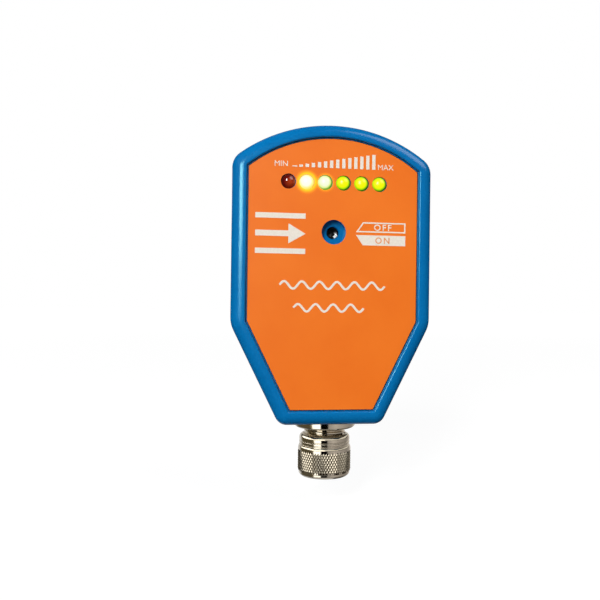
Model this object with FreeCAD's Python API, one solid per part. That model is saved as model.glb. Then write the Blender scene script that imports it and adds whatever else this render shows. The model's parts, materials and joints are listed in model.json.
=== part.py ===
import FreeCAD, Part
import math
import os

# Electronic flow switch with a screw-in thermal probe and an M12 plug.
# Millimetres. The origin is on the pipe thread's axis, at its sealing shoulder.
# +Y runs out along the probe, the face label looks towards -Y, and +Z is up.

# Housing outline, seen from the front
HOUSING_WIDTH = 55.0
ARCH_TOP = 29.4
ARCH_RADIUS = 42.6
FLANK_DROP = 25.2
FOOT_DROP = 52.55
FOOT_WIDTH = 28.15
SHOULDER_RADIUS = 5.0
FLANK_RADIUS = 8.0
FOOT_CORNER_EXTRA = 0.5
LEAST_RADIUS = 0.5

# Housing depth and walls
HOUSING_DEPTH = 28.0
COVER_DEPTH = 4.5
EDGE_RADIUS = 3.0
WALL = 2.5
FRONT_WALL = 2.4
COVER_WALL = 2.5
PARTING_CHAMFER = 0.2

# Face label in its pocket; the arch of both is a little rounder than the housing's
RIM_WIDTH = 3.9
ARCH_RIM_WIDTH = 3.65
POCKET_ARCH_RADIUS = 37.1
POCKET_EDGE_RADIUS = 0.45
LABEL_GAP = 0.35
LABEL_HOLE_GAP = 0.06
LABEL_RECESS = 0.5
LABEL_THICKNESS = 0.4

# Indicator lamps
LAMP_COUNT = 6
LAMP_PITCH = 5.0
LAMP_ROW_HEIGHT = 13.4
LAMP_DIAMETER = 3.8
LAMP_GAP = 0.1
LAMP_PROUD = 0.8
LAMP_DOME = 1.0
LAMP_COLLAR = 0.4
LAMP_COLLAR_THICKNESS = 0.8
LEAD_SPACING = 2.54
LEAD_SIDE = 0.5
LEAD_TAIL = 1.0
HOLDER_MARGIN = 0.7

# Adjuster well and trimmer
WELL_DIAMETER = 6.6
WELL_DEPTH = 2.4
WELL_FLOOR = 1.2
WELL_WALL = 1.5
ROTOR_DIAMETER = 3.1
ROTOR_WINDOW_GAP = 0.12
WINDOW_CHAMFER = 0.2
ROTOR_SUNK = 0.45
ROTOR_DISH = 0.35
ROTOR_SLOT_WIDTH = 0.6
ROTOR_SLOT_DEPTH = 0.8
ROTOR_SLOT_TURN = 45.0
ROTOR_BASE_DIAMETER = 4.4
ROTOR_BASE_THICKNESS = 1.6
TRIMMER_SIDE = 6.8
TRIMMER_HEIGHT = 4.6
TRIMMER_LID = 1.2
TRIMMER_GAP = 0.3
RUNNING_GAP = 0.06

# Circuit board and what stands on it
BOARD_THICKNESS = 1.6
BOARD_GAP = 0.6
BOARD_DROP = 36.0
BOARD_SCREW_DIAMETER = 1.6
BOARD_SCREW_LENGTH = 5.0
BOARD_SCREW_HEAD_DIAMETER = 3.8
BOARD_SCREW_HEAD_HEIGHT = 1.3
STANDOFF_DIAMETER = 5.2
STANDOFF_UPPER_DROP = 2.0
STANDOFF_LOWER_DROP = 29.0
STANDOFF_UPPER_SPAN = 40.0
STANDOFF_LOWER_SPAN = 31.0
CHIP_SIDE = 7.0
CHIP_HEIGHT = 1.2
CHIP_OFFSET = 11.0
CHIP_DROP = 13.0
REGULATOR_WIDTH = 6.5
REGULATOR_LENGTH = 9.0
REGULATOR_HEIGHT = 2.3
REGULATOR_OFFSET = 10.0
REGULATOR_DROP = 20.0
TRANSISTOR_WIDTH = 6.5
TRANSISTOR_LENGTH = 3.6
TRANSISTOR_HEIGHT = 1.7
CAPACITOR_DIAMETER = 6.3
CAPACITOR_HEIGHT = 7.7
CAPACITOR_SPAN = 28.0
CAPACITOR_RISE = 8.0

# Rear cover, its gasket and its screws
GASKET_LAND = 1.0
GASKET_DEPTH = 1.2
GASKET_GAP = 0.05
LIP_GAP = 0.2
LIP_WIDTH = 1.2
LIP_DEPTH = 1.2
BOSS_DIAMETER = 6.6
BOSS_ROOT = 0.5
BOSS_RISE = 12.0
BOSS_DROP = 42.0
COVER_SCREW_DIAMETER = 2.8
COVER_SCREW_LENGTH = 14.0
COVER_SCREW_HEAD_DIAMETER = 5.6
COVER_SCREW_HEAD_HEIGHT = 1.7
COVER_SCREW_SUNK = 0.3
SCREW_GAP = 0.1
SCREW_CROSS_WIDTH = 0.7
SCREW_CROSS_DEPTH = 0.9

# Process fitting with pipe thread and probe
HEX_ACROSS_FLATS = 27.0
HEX_THICKNESS = 9.0
HEX_CHAMFER = 0.8
THREAD_RADIUS = 10.48
THREAD_LENGTH = 14.0
THREAD_CHAMFER = 1.2
PROBE_DIAMETER = 8.0
PROBE_LENGTH = 28.0
PROBE_WALL = 0.9
PROBE_TIP_RADIUS = 1.5
NECK_DIAMETER = 18.0
NECK_STANDOUT = 1.5
NECK_BORE = 10.0
NECK_GAP = 0.1
FITTING_NUT_ACROSS_FLATS = 24.0
FITTING_NUT_THICKNESS = 4.0
O_RING_WIDTH = 1.6
O_RING_DEPTH = 1.2
O_RING_INSET = 0.9
SEAL_GAP = 0.05
PIPE_SEAL_WIDTH = 1.4
PIPE_SEAL_DEPTH = 1.2
PIPE_SEAL_INSET = 0.5

# Sensor inside the probe
CARRIER_WIDTH = 5.6
CARRIER_THICKNESS = 0.8
CARRIER_LENGTH = 27.0
CARRIER_TIP_GAP = 0.3
ELEMENT_LENGTH = 3.2
ELEMENT_WIDTH = 1.6
ELEMENT_HEIGHT = 0.9
ELEMENT_SPACING = 16.0
WIRE_DIAMETER = 0.9
WIRE_SPACING = 3.0
WIRE_OVERLAY = 3.0
SOLDER_GAP = 0.02
SENSOR_HEADER_SIDE = 7.0
SENSOR_HEADER_HEIGHT = 5.0

# M12 plug
PLUG_DIAMETER = 11.9
PLUG_LENGTH = 11.6
PLUG_CHAMFER = 0.5
PLUG_BORE = 9.6
FLANGE_DIAMETER = 17.6
FLANGE_THICKNESS = 1.95
FLANGE_CHAMFER = 0.4
PLUG_TAIL_DIAMETER = 12.0
PLUG_TAIL_LENGTH = 8.0
PLUG_NUT_ACROSS_FLATS = 15.0
PLUG_NUT_THICKNESS = 3.0
PLUG_NUT_GAP = 0.8
PLUG_RING_WIDTH = 1.3
PLUG_RING_DEPTH = 0.9
PLUG_RING_INSET = 0.5
INSERT_GAP = 0.05
INSERT_FACE_DEPTH = 8.2
KEY_WIDTH = 1.4
KEY_HEIGHT = 0.6
KEY_SHORT = 1.0
PIN_COUNT = 4
PIN_DIAMETER = 1.0
PIN_CIRCLE = 7.0
PIN_SUNK = 2.0
PIN_TAIL = 2.5
PIN_GAP = 0.02
PLUG_HEADER_WIDTH = 10.0
PLUG_HEADER_LENGTH = 6.0

# Knurled screw cap
CAP_START = 2.3
CAP_BORE_GAP = 0.1
CAP_FLOOR = 1.6
CAP_SEAL_THICKNESS = 1.1
CAP_SEAL_SQUEEZE_GAP = 0.05
CAP_SEAL_EDGE_GAP = 0.3
CAP_LIP_WIDTH = 0.3
COLLAR_DIAMETER = 14.6
COLLAR_CONE = 1.0
COLLAR_LENGTH = 2.95
COLLAR_GROOVE_WIDTH = 0.35
COLLAR_GROOVE_DEPTH = 0.2
COLLAR_GROOVE_SPACING = 0.9
COLLAR_GROOVE_START = 0.9
KNURL_DIAMETER = 15.3
KNURL_LENGTH = 6.5
KNURL_SHOULDER = 0.3
BASE_DIAMETER = 14.7

# Planes across the depth, from the rear face to the front rim
REAR = -HEX_THICKNESS
PARTING = REAR - COVER_DEPTH
COVER_INNER = REAR - COVER_WALL
FRONT = REAR - HOUSING_DEPTH
LABEL_FACE = FRONT + LABEL_RECESS
POCKET_FLOOR = LABEL_FACE + LABEL_THICKNESS
FRONT_INNER = POCKET_FLOOR + FRONT_WALL
WELL_BOTTOM = LABEL_FACE + WELL_DEPTH
WELL_BOSS_END = WELL_BOTTOM + WELL_FLOOR
TRIMMER_FRONT = WELL_BOSS_END + TRIMMER_GAP
BOARD_FRONT = TRIMMER_FRONT + TRIMMER_HEIGHT
BOARD_REAR = BOARD_FRONT + BOARD_THICKNESS
LAMP_BASE = FRONT_INNER + LAMP_COLLAR_THICKNESS
PLUG_AXIS = PARTING - LIP_DEPTH - PLUG_NUT_GAP - PLUG_NUT_ACROSS_FLATS / 2

# Heights down the plug, from the foot of the housing
FOOT = -FOOT_DROP
FOOT_INNER = FOOT + WALL
PLUG_START = FOOT - FLANGE_THICKNESS
PLUG_END = PLUG_START - PLUG_LENGTH
CAP_TOP = PLUG_START - CAP_START
CAP_SEAL_TOP = PLUG_END - CAP_SEAL_SQUEEZE_GAP
CAP_FLOOR_TOP = CAP_SEAL_TOP - CAP_SEAL_THICKNESS
CAP_END = CAP_FLOOR_TOP - CAP_FLOOR
INSERT_FACE = PLUG_END + INSERT_FACE_DEPTH
INSERT_TOP = FOOT + PLUG_TAIL_LENGTH
PIN_TOP = INSERT_TOP + PIN_TAIL

# Lengths along the process fitting
NECK_END = COVER_INNER - FITTING_NUT_THICKNESS - NECK_STANDOUT
PROBE_TIP = THREAD_LENGTH + PROBE_LENGTH
PROBE_BORE = PROBE_DIAMETER - 2 * PROBE_WALL
CARRIER_END = PROBE_TIP - PROBE_WALL - CARRIER_TIP_GAP
CARRIER_START = CARRIER_END - CARRIER_LENGTH

RIGHT = FreeCAD.Vector(1, 0, 0)
BACK = FreeCAD.Vector(0, 1, 0)
UP = FreeCAD.Vector(0, 0, 1)
ORIGIN = FreeCAD.Vector(0, 0, 0)
PLUG_BASE = FreeCAD.Vector(0, PLUG_AXIS, 0)


def point(x, y, z):
    return FreeCAD.Vector(x, y, z)


def rod(diameter, start, end):
    """Round bar between two points."""
    axis = end - start
    return Part.makeCylinder(diameter / 2, axis.Length, start, axis)


def rod_y(diameter, x, z, y_start, y_end):
    """Round bar along the depth."""
    return rod(diameter, point(x, y_start, z), point(x, y_end, z))


def block(x_size, z_size, x, z, y_start, y_end):
    """Rectangular block centred on x and z."""
    corner = point(x - x_size / 2, y_start, z - z_size / 2)
    return Part.makeBox(x_size, y_end - y_start, z_size, corner)


def turned(profile, base, axis):
    """Solid of revolution; the profile is a list of (radius, distance along the axis)."""
    points = [base + RIGHT * radius + axis * distance for radius, distance in profile]
    return Part.Face(Part.makePolygon(points + points[:1])).revolve(base, axis, 360)


def ring(inner_radius, outer_radius, low, high, base, axis):
    """Ring of rectangular section."""
    section = [(inner_radius, low), (outer_radius, low), (outer_radius, high), (inner_radius, high)]
    return turned(section, base, axis)


def hexagon(across_flats, low, high, base, axis):
    """Hexagonal bar; two of its corners lie in the X direction."""
    corner_radius = across_flats / math.sqrt(3)
    across = axis.cross(RIGHT)
    corners = []
    for step in range(6):
        angle = math.radians(60 * step)
        spoke = RIGHT * math.cos(angle) + across * math.sin(angle)
        corners.append(base + axis * low + spoke * corner_radius)
    return Part.Face(Part.makePolygon(corners + corners[:1])).extrude(axis * (high - low))


def chamfered_hexagon(across_flats, low, high, chamfer, base, axis):
    """Hexagon whose corners are turned off at both ends."""
    face_radius = across_flats / 2 - LEAST_RADIUS / 2
    full_radius = face_radius + chamfer * math.sqrt(3)
    envelope = turned(
        [
            (0, low),
            (face_radius, low),
            (full_radius, low + chamfer),
            (full_radius, high - chamfer),
            (face_radius, high),
            (0, high),
        ],
        base,
        axis,
    )
    return hexagon(across_flats, low, high, base, axis).common(envelope)


def flank_x(z, inset):
    """Half-width of the tapered foot at a height, moved inwards by inset."""
    run = (HOUSING_WIDTH - FOOT_WIDTH) / 2
    fall = FOOT_DROP - FLANK_DROP
    return HOUSING_WIDTH / 2 - (-z - FLANK_DROP) * run / fall - inset * math.hypot(run, fall) / fall


def outline_slope():
    """Unit direction of the tapered flank, downwards on the right-hand side, as (x, z)."""
    run = (HOUSING_WIDTH - FOOT_WIDTH) / 2
    fall = FOOT_DROP - FLANK_DROP
    slant = math.hypot(run, fall)
    return -run / slant, -fall / slant


def shoulder_arc(half, arch_top, arch_radius, radius):
    """Rounding between the arch and the straight side, as three (x, z) points."""
    arch_z = arch_top - arch_radius
    x = half - radius
    rise = math.sqrt((arch_radius - radius) ** 2 - x**2)
    angle = math.atan2(rise, x)
    z = arch_z + rise
    start = (arch_radius * math.cos(angle), arch_z + arch_radius * math.sin(angle))
    middle = (x + radius * math.cos(angle / 2), z + radius * math.sin(angle / 2))
    return start, middle, (half, z)


def corner_arc(corner, arriving, leaving, radius):
    """Rounding of radius between two straight edges that meet at a corner, as three points."""
    turn = math.acos(arriving[0] * leaving[0] + arriving[1] * leaving[1])
    reach = radius * math.tan(turn / 2)
    depth = radius / math.cos(turn / 2) - radius
    inwards = (leaving[0] - arriving[0], leaving[1] - arriving[1])
    size = math.hypot(*inwards)
    start = tuple(c - a * reach for c, a in zip(corner, arriving))
    middle = tuple(c + i / size * depth for c, i in zip(corner, inwards))
    end = tuple(c + d * reach for c, d in zip(corner, leaving))
    return start, middle, end


def outline_wire(inset, y, arch_top, arch_radius, radii):
    """Housing outline moved inwards by inset: arch, straight sides, tapered flanks and foot."""
    half = HOUSING_WIDTH / 2 - inset
    slope = outline_slope()
    flank = -FLANK_DROP + inset * (1 + slope[1]) / -slope[0]
    foot = FOOT + inset
    right = [
        shoulder_arc(half, arch_top, arch_radius, radii[0]),
        corner_arc((half, flank), (0, -1), slope, radii[1]),
        corner_arc((flank_x(foot, inset), foot), slope, (-1, 0), radii[2]),
    ]
    left = [[(-x, z) for x, z in reversed(arc)] for arc in reversed(right)]
    arcs = [[point(x, y, z) for x, z in arc] for arc in right + left]
    edges = [Part.Arc(arcs[-1][2], point(0, y, arch_top), arcs[0][0]).toShape()]
    for arc, following in zip(arcs, arcs[1:] + [None]):
        edges.append(Part.Arc(*arc).toShape())
        if following:
            edges.append(Part.makeLine(arc[2], following[0]))
    return Part.Wire(edges)


def edges_at_depth(solid, y):
    """Edges that lie in one plane across the depth."""
    return [edge for edge in solid.Edges if all(abs(v.Y - y) < 1e-5 for v in edge.Vertexes)]


def front_face(solid):
    """The flat face of the rim, in the front plane."""
    for face in solid.Faces:
        if all(abs(vertex.Y - FRONT) < 1e-5 for vertex in face.Vertexes):
            return face


def housing_block(inset, y_start, y_end):
    """Block with the housing's outline moved inwards; its corner radii shrink with the inset."""
    full_radii = (SHOULDER_RADIUS, FLANK_RADIUS, EDGE_RADIUS + FOOT_CORNER_EXTRA)
    radii = [max(radius - inset, LEAST_RADIUS) for radius in full_radii]
    wire = outline_wire(inset, y_start, ARCH_TOP - inset, ARCH_RADIUS - inset, radii)
    return Part.Face(wire).extrude(BACK * (y_end - y_start))


def label_block(gap, y_start, y_end):
    """Block with the label pocket's outline and crisp corners, smaller by gap all round."""
    arch_top = ARCH_TOP - ARCH_RIM_WIDTH - gap
    arch_radius = POCKET_ARCH_RADIUS - gap
    wire = outline_wire(RIM_WIDTH + gap, y_start, arch_top, arch_radius, [LEAST_RADIUS] * 3)
    return Part.Face(wire).extrude(BACK * (y_end - y_start))


def lamp_places():
    """X of each lamp in the row."""
    return [(index - (LAMP_COUNT - 1) / 2) * LAMP_PITCH for index in range(LAMP_COUNT)]


def lead_places():
    """X of each lamp lead, two to a lamp."""
    return [x + side * LEAD_SPACING / 2 for x in lamp_places() for side in (-1, 1)]


def boss_places():
    """X and Z of the four cover screw bosses."""
    inset = WALL + BOSS_DIAMETER / 2 - BOSS_ROOT
    upper = HOUSING_WIDTH / 2 - inset
    lower = flank_x(-BOSS_DROP, inset)
    places = [(upper, BOSS_RISE), (lower, -BOSS_DROP)]
    return places + [(-x, z) for x, z in places]


def standoff_places():
    """X and Z of the four board standoffs."""
    upper = (STANDOFF_UPPER_SPAN / 2, -STANDOFF_UPPER_DROP)
    lower = (STANDOFF_LOWER_SPAN / 2, -STANDOFF_LOWER_DROP)
    return [upper, lower, (-upper[0], upper[1]), (-lower[0], lower[1])]


def wire_places():
    """X and Z of the four sensor wires, beside the carrier's two faces."""
    z = CARRIER_THICKNESS / 2 + WIRE_DIAMETER / 2 + SOLDER_GAP
    return [(x * WIRE_SPACING / 2, side * z) for x in (-1, 1) for side in (-1, 1)]


def pin_places():
    """X and Y of the contact pins on their circle."""
    places = []
    for index in range(PIN_COUNT):
        angle = math.radians(360 / PIN_COUNT * (index + 0.5))
        x = PIN_CIRCLE / 2 * math.cos(angle)
        y = PLUG_AXIS + PIN_CIRCLE / 2 * math.sin(angle)
        places.append((x, y))
    return places


def front_housing():
    shell = housing_block(0, FRONT, PARTING)
    shell = shell.makeChamfer(PARTING_CHAMFER, edges_at_depth(shell, PARTING))
    shell = shell.makeFillet(EDGE_RADIUS, front_face(shell).Edges)
    shell = shell.cut(label_block(0, FRONT, POCKET_FLOOR))
    rim = front_face(shell)
    rim_edges = [edge.hashCode() for edge in rim.OuterWire.Edges]
    pocket_edges = [edge for edge in rim.Edges if edge.hashCode() not in rim_edges]
    shell = shell.makeFillet(POCKET_EDGE_RADIUS, pocket_edges)
    shell = shell.cut(housing_block(WALL, FRONT_INNER, PARTING))
    root = FRONT_INNER - FRONT_WALL / 2
    for x, z in boss_places():
        shell = shell.fuse(rod_y(BOSS_DIAMETER, x, z, root, PARTING))
    for x, z in standoff_places():
        shell = shell.fuse(rod_y(STANDOFF_DIAMETER, x, z, root, BOARD_FRONT))
    shell = shell.fuse(rod_y(WELL_DIAMETER + 2 * WELL_WALL, 0, 0, root, WELL_BOSS_END))
    rebate = housing_block(GASKET_LAND, PARTING - GASKET_DEPTH, PARTING)
    rebate = rebate.cut(housing_block(WALL, PARTING - GASKET_DEPTH, PARTING))
    holes = [rebate]
    for x in lamp_places():
        holes.append(rod_y(LAMP_DIAMETER + 2 * LAMP_GAP, x, LAMP_ROW_HEIGHT, FRONT, FRONT_INNER))
    holes.append(rod_y(WELL_DIAMETER, 0, 0, FRONT, WELL_BOTTOM))
    window = ROTOR_DIAMETER / 2 + ROTOR_WINDOW_GAP
    window_profile = [
        (0, WELL_BOTTOM),
        (window + WINDOW_CHAMFER, WELL_BOTTOM),
        (window, WELL_BOTTOM + WINDOW_CHAMFER),
        (window, WELL_BOSS_END),
        (0, WELL_BOSS_END),
    ]
    holes.append(turned(window_profile, ORIGIN, BACK))
    cover_screw_depth = COVER_SCREW_LENGTH - COVER_DEPTH + SCREW_GAP
    for x, z in boss_places():
        hole = COVER_SCREW_DIAMETER + 2 * SCREW_GAP
        holes.append(rod_y(hole, x, z, PARTING - cover_screw_depth, PARTING))
    for x, z in standoff_places():
        depth = BOARD_SCREW_LENGTH - BOARD_THICKNESS + SCREW_GAP
        hole = BOARD_SCREW_DIAMETER + 2 * SCREW_GAP
        holes.append(rod_y(hole, x, z, BOARD_FRONT - depth, BOARD_FRONT))
    port = PLUG_TAIL_DIAMETER + 2 * NECK_GAP
    holes.append(rod(port, PLUG_BASE + UP * FOOT, PLUG_BASE + UP * FOOT_INNER))
    return shell.cut(holes).removeSplitter()


def face_label():
    label = label_block(LABEL_GAP, LABEL_FACE, POCKET_FLOOR)
    holes = [rod_y(WELL_DIAMETER + 2 * LABEL_HOLE_GAP, 0, 0, LABEL_FACE, POCKET_FLOOR)]
    lamp_hole = LAMP_DIAMETER + 2 * LAMP_GAP + 2 * LABEL_HOLE_GAP
    for x in lamp_places():
        holes.append(rod_y(lamp_hole, x, LAMP_ROW_HEIGHT, LABEL_FACE, POCKET_FLOOR))
    return label.cut(holes)


def lamp(x):
    """Domed lamp whose collar rests against the inside of the front wall."""
    radius = LAMP_DIAMETER / 2
    top = LABEL_FACE - LAMP_PROUD
    shoulder = top + LAMP_DOME
    centre = point(x, 0, LAMP_ROW_HEIGHT)
    dome_radius = (radius**2 + LAMP_DOME**2) / (2 * LAMP_DOME)
    dome = Part.makeSphere(dome_radius, centre + BACK * (top + dome_radius))
    body = rod_y(LAMP_DIAMETER, x, LAMP_ROW_HEIGHT, top, LAMP_BASE).common(
        dome.fuse(rod_y(LAMP_DIAMETER, x, LAMP_ROW_HEIGHT, shoulder, LAMP_BASE))
    )
    collar = rod_y(LAMP_DIAMETER + 2 * LAMP_COLLAR, x, LAMP_ROW_HEIGHT, FRONT_INNER, LAMP_BASE)
    return body.fuse(collar).removeSplitter()


def lead_bars(side, y_start, y_end):
    """Square bar on each lead's line."""
    return [block(side, side, x, LAMP_ROW_HEIGHT, y_start, y_end) for x in lead_places()]


def lamp_leads():
    return Part.makeCompound(lead_bars(LEAD_SIDE, LAMP_BASE, BOARD_REAR + LEAD_TAIL))


def lead_holes(y_start, y_end):
    return lead_bars(LEAD_SIDE + 2 * SCREW_GAP, y_start, y_end)


def lamp_holder():
    height = LAMP_DIAMETER + 2 * LAMP_COLLAR + 2 * HOLDER_MARGIN
    length = (LAMP_COUNT - 1) * LAMP_PITCH + height
    bar = block(length, height, 0, LAMP_ROW_HEIGHT, LAMP_BASE, BOARD_FRONT)
    long_edges = [edge for edge in bar.Edges if abs(edge.Vertexes[0].Y - edge.Vertexes[1].Y) > 1]
    return bar.makeFillet(HOLDER_MARGIN, long_edges).cut(lead_holes(LAMP_BASE, BOARD_FRONT))


def main_board():
    board = housing_block(WALL + BOARD_GAP, BOARD_FRONT, BOARD_REAR)
    below = HOUSING_WIDTH + FOOT_DROP
    board = board.cut(block(below, below, 0, -BOARD_DROP - below / 2, BOARD_FRONT, BOARD_REAR))
    holes = lead_holes(BOARD_FRONT, BOARD_REAR)
    for x, z in boss_places():
        holes.append(rod_y(BOSS_DIAMETER + 2 * BOARD_GAP, x, z, BOARD_FRONT, BOARD_REAR))
    for x, z in standoff_places():
        hole = BOARD_SCREW_DIAMETER + 2 * SCREW_GAP
        holes.append(rod_y(hole, x, z, BOARD_FRONT, BOARD_REAR))
    return board.cut(holes)


def screw(x, z, head_front, shank, length, head, head_height, direction):
    """Pan-head screw; its shank starts at head_front and runs towards the front wall."""
    top = head_front + head_height * direction
    solid = rod_y(shank, x, z, head_front - length * direction, head_front)
    solid = solid.fuse(rod_y(head, x, z, head_front, top))
    reach = head - 2 * SCREW_CROSS_WIDTH
    for x_size, z_size in ((reach, SCREW_CROSS_WIDTH), (SCREW_CROSS_WIDTH, reach)):
        solid = solid.cut(block(x_size, z_size, x, z, top - SCREW_CROSS_DEPTH, top))
    return solid


def board_screws():
    sizes = (
        BOARD_SCREW_DIAMETER,
        BOARD_SCREW_LENGTH,
        BOARD_SCREW_HEAD_DIAMETER,
        BOARD_SCREW_HEAD_HEIGHT,
    )
    return Part.makeCompound([screw(x, z, BOARD_REAR, *sizes, 1) for x, z in standoff_places()])


def cover_screw_seat():
    """Plane under the heads of the cover screws."""
    return REAR - COVER_SCREW_HEAD_HEIGHT - COVER_SCREW_SUNK


def cover_screws():
    sizes = (
        COVER_SCREW_DIAMETER,
        COVER_SCREW_LENGTH - COVER_SCREW_HEAD_HEIGHT - COVER_SCREW_SUNK,
        COVER_SCREW_HEAD_DIAMETER,
        COVER_SCREW_HEAD_HEIGHT,
    )
    seat = cover_screw_seat()
    return Part.makeCompound([screw(x, z, seat, *sizes, 1) for x, z in boss_places()])


def trimmer_body():
    body = block(TRIMMER_SIDE, TRIMMER_SIDE, 0, 0, TRIMMER_FRONT, BOARD_FRONT)
    opening = rod_y(ROTOR_DIAMETER + 2 * RUNNING_GAP, 0, 0, TRIMMER_FRONT, BOARD_FRONT - TRIMMER_LID)
    seat_front = TRIMMER_FRONT + TRIMMER_LID
    seat_end = seat_front + ROTOR_BASE_THICKNESS + 2 * RUNNING_GAP
    seat = rod_y(ROTOR_BASE_DIAMETER + 2 * RUNNING_GAP, 0, 0, seat_front, seat_end)
    return body.cut([opening.common(rod_y(TRIMMER_SIDE, 0, 0, TRIMMER_FRONT, seat_end)), seat])


def adjuster_rotor():
    """Slotted rotor with a dished face; its base disc is held under the trimmer's lid."""
    face = WELL_BOTTOM + ROTOR_SUNK
    base_front = TRIMMER_FRONT + TRIMMER_LID + RUNNING_GAP
    base_end = base_front + ROTOR_BASE_THICKNESS
    stem = ROTOR_DIAMETER / 2
    rotor = turned(
        [
            (0, face + ROTOR_DISH),
            (stem - ROTOR_DISH, face),
            (stem, face),
            (stem, base_front),
            (ROTOR_BASE_DIAMETER / 2, base_front),
            (ROTOR_BASE_DIAMETER / 2, base_end),
            (0, base_end),
        ],
        ORIGIN,
        BACK,
    )
    slot = block(ROTOR_DIAMETER, ROTOR_SLOT_WIDTH, 0, 0, face, face + ROTOR_SLOT_DEPTH)
    slot.rotate(ORIGIN, BACK, ROTOR_SLOT_TURN)
    return rotor.cut(slot)


def chip(x_size, z_size, height, x, z):
    """Flat package on the rear of the board."""
    return block(x_size, z_size, x, z, BOARD_REAR, BOARD_REAR + height)


def controller_chip():
    return chip(CHIP_SIDE, CHIP_SIDE, CHIP_HEIGHT, -CHIP_OFFSET, -CHIP_DROP)


def regulator_chip():
    return chip(REGULATOR_WIDTH, REGULATOR_LENGTH, REGULATOR_HEIGHT, REGULATOR_OFFSET, -REGULATOR_DROP)


def output_transistor():
    size = (TRANSISTOR_WIDTH, TRANSISTOR_LENGTH, TRANSISTOR_HEIGHT)
    return chip(*size, -CHIP_OFFSET, -CHIP_DROP - CHIP_SIDE)


def capacitors():
    end = BOARD_REAR + CAPACITOR_HEIGHT
    cans = []
    for side in (-1, 1):
        x = side * CAPACITOR_SPAN / 2
        cans.append(rod_y(CAPACITOR_DIAMETER, x, CAPACITOR_RISE, BOARD_REAR, end))
    return Part.makeCompound(cans)


def sensor_header():
    end = BOARD_REAR + SENSOR_HEADER_HEIGHT
    return block(SENSOR_HEADER_SIDE, SENSOR_HEADER_SIDE, 0, 0, BOARD_REAR, end)


def sensor_wires():
    start = BOARD_REAR + SENSOR_HEADER_HEIGHT
    end = CARRIER_START + WIRE_OVERLAY
    return Part.makeCompound([rod_y(WIRE_DIAMETER, x, z, start, end) for x, z in wire_places()])


def plug_header():
    end = 2 * PLUG_AXIS - BOARD_REAR
    z = -BOARD_DROP + PLUG_HEADER_LENGTH / 2
    return block(PLUG_HEADER_WIDTH, PLUG_HEADER_LENGTH, 0, z, BOARD_REAR, end)


def plug_wires():
    wires = []
    for x, y in pin_places():
        wires.append(rod(WIRE_DIAMETER, point(x, y, PIN_TOP), point(x, y, -BOARD_DROP)))
    return Part.makeCompound(wires)


def rear_cover():
    cover = housing_block(0, PARTING, REAR)
    cover = cover.makeChamfer(PARTING_CHAMFER, edges_at_depth(cover, PARTING))
    cover = cover.makeFillet(EDGE_RADIUS, edges_at_depth(cover, REAR))
    lip_outer = WALL + LIP_GAP
    cover = cover.cut(housing_block(lip_outer + LIP_WIDTH, PARTING, COVER_INNER))
    lip = housing_block(lip_outer, PARTING - LIP_DEPTH, PARTING)
    lip = lip.cut(housing_block(lip_outer + LIP_WIDTH, PARTING - LIP_DEPTH, PARTING))
    for x, z in boss_places():
        lip = lip.cut(rod_y(BOSS_DIAMETER + 2 * LIP_GAP, x, z, PARTING - LIP_DEPTH, PARTING))
    cover = cover.fuse(lip)
    for x, z in boss_places():
        cover = cover.fuse(rod_y(BOSS_DIAMETER, x, z, PARTING, COVER_INNER))
    holes = [rod_y(NECK_DIAMETER + 2 * NECK_GAP, 0, 0, PARTING, REAR)]
    for x, z in boss_places():
        holes.append(rod_y(COVER_SCREW_DIAMETER + 4 * SCREW_GAP, x, z, PARTING, REAR))
        head_hole = COVER_SCREW_HEAD_DIAMETER + 4 * SCREW_GAP
        holes.append(rod_y(head_hole, x, z, cover_screw_seat(), REAR))
    return cover.cut(holes).removeSplitter()


def cover_gasket():
    start = PARTING - GASKET_DEPTH + GASKET_GAP
    gasket = housing_block(GASKET_LAND + GASKET_GAP, start, PARTING)
    return gasket.cut(housing_block(WALL - GASKET_GAP, start, PARTING))


def o_ring_radii():
    """Inner and outer radius of the groove in the fitting's face."""
    inner = NECK_DIAMETER / 2 + O_RING_INSET
    return inner, inner + O_RING_WIDTH


def pipe_seal_radii():
    """Inner and outer radius of the groove in the pipe shoulder."""
    inner = THREAD_RADIUS + PIPE_SEAL_INSET
    return inner, inner + PIPE_SEAL_WIDTH


def process_fitting():
    """One turned piece: inner neck, hexagon, pipe thread and closed probe."""
    neck = NECK_DIAMETER / 2
    probe = PROBE_DIAMETER / 2
    core = turned(
        [
            (NECK_BORE / 2, NECK_END),
            (neck, NECK_END),
            (neck, REAR),
            (THREAD_RADIUS, REAR),
            (THREAD_RADIUS, THREAD_LENGTH - THREAD_CHAMFER),
            (THREAD_RADIUS - THREAD_CHAMFER, THREAD_LENGTH),
            (probe, THREAD_LENGTH),
            (probe, PROBE_TIP),
            (0, PROBE_TIP),
            (0, PROBE_TIP - PROBE_WALL),
            (PROBE_BORE / 2, PROBE_TIP - PROBE_WALL),
            (PROBE_BORE / 2, THREAD_LENGTH - THREAD_CHAMFER),
            (NECK_BORE / 2, THREAD_LENGTH - 2 * THREAD_CHAMFER),
        ],
        ORIGIN,
        BACK,
    )
    tip_edges = []
    for edge in edges_at_depth(core, PROBE_TIP):
        if abs(edge.Length - math.pi * PROBE_DIAMETER) < 1e-3:
            tip_edges.append(edge)
    core = core.makeFillet(PROBE_TIP_RADIUS, tip_edges)
    head = chamfered_hexagon(HEX_ACROSS_FLATS, REAR, 0, HEX_CHAMFER, ORIGIN, BACK)
    head = head.cut(rod_y(NECK_BORE, 0, 0, REAR, 0))
    fitting = core.fuse(head)
    o_ring_groove = ring(*o_ring_radii(), REAR, REAR + O_RING_DEPTH, ORIGIN, BACK)
    seal_groove = ring(*pipe_seal_radii(), -PIPE_SEAL_DEPTH, 0, ORIGIN, BACK)
    return fitting.cut([o_ring_groove, seal_groove]).removeSplitter()


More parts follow.
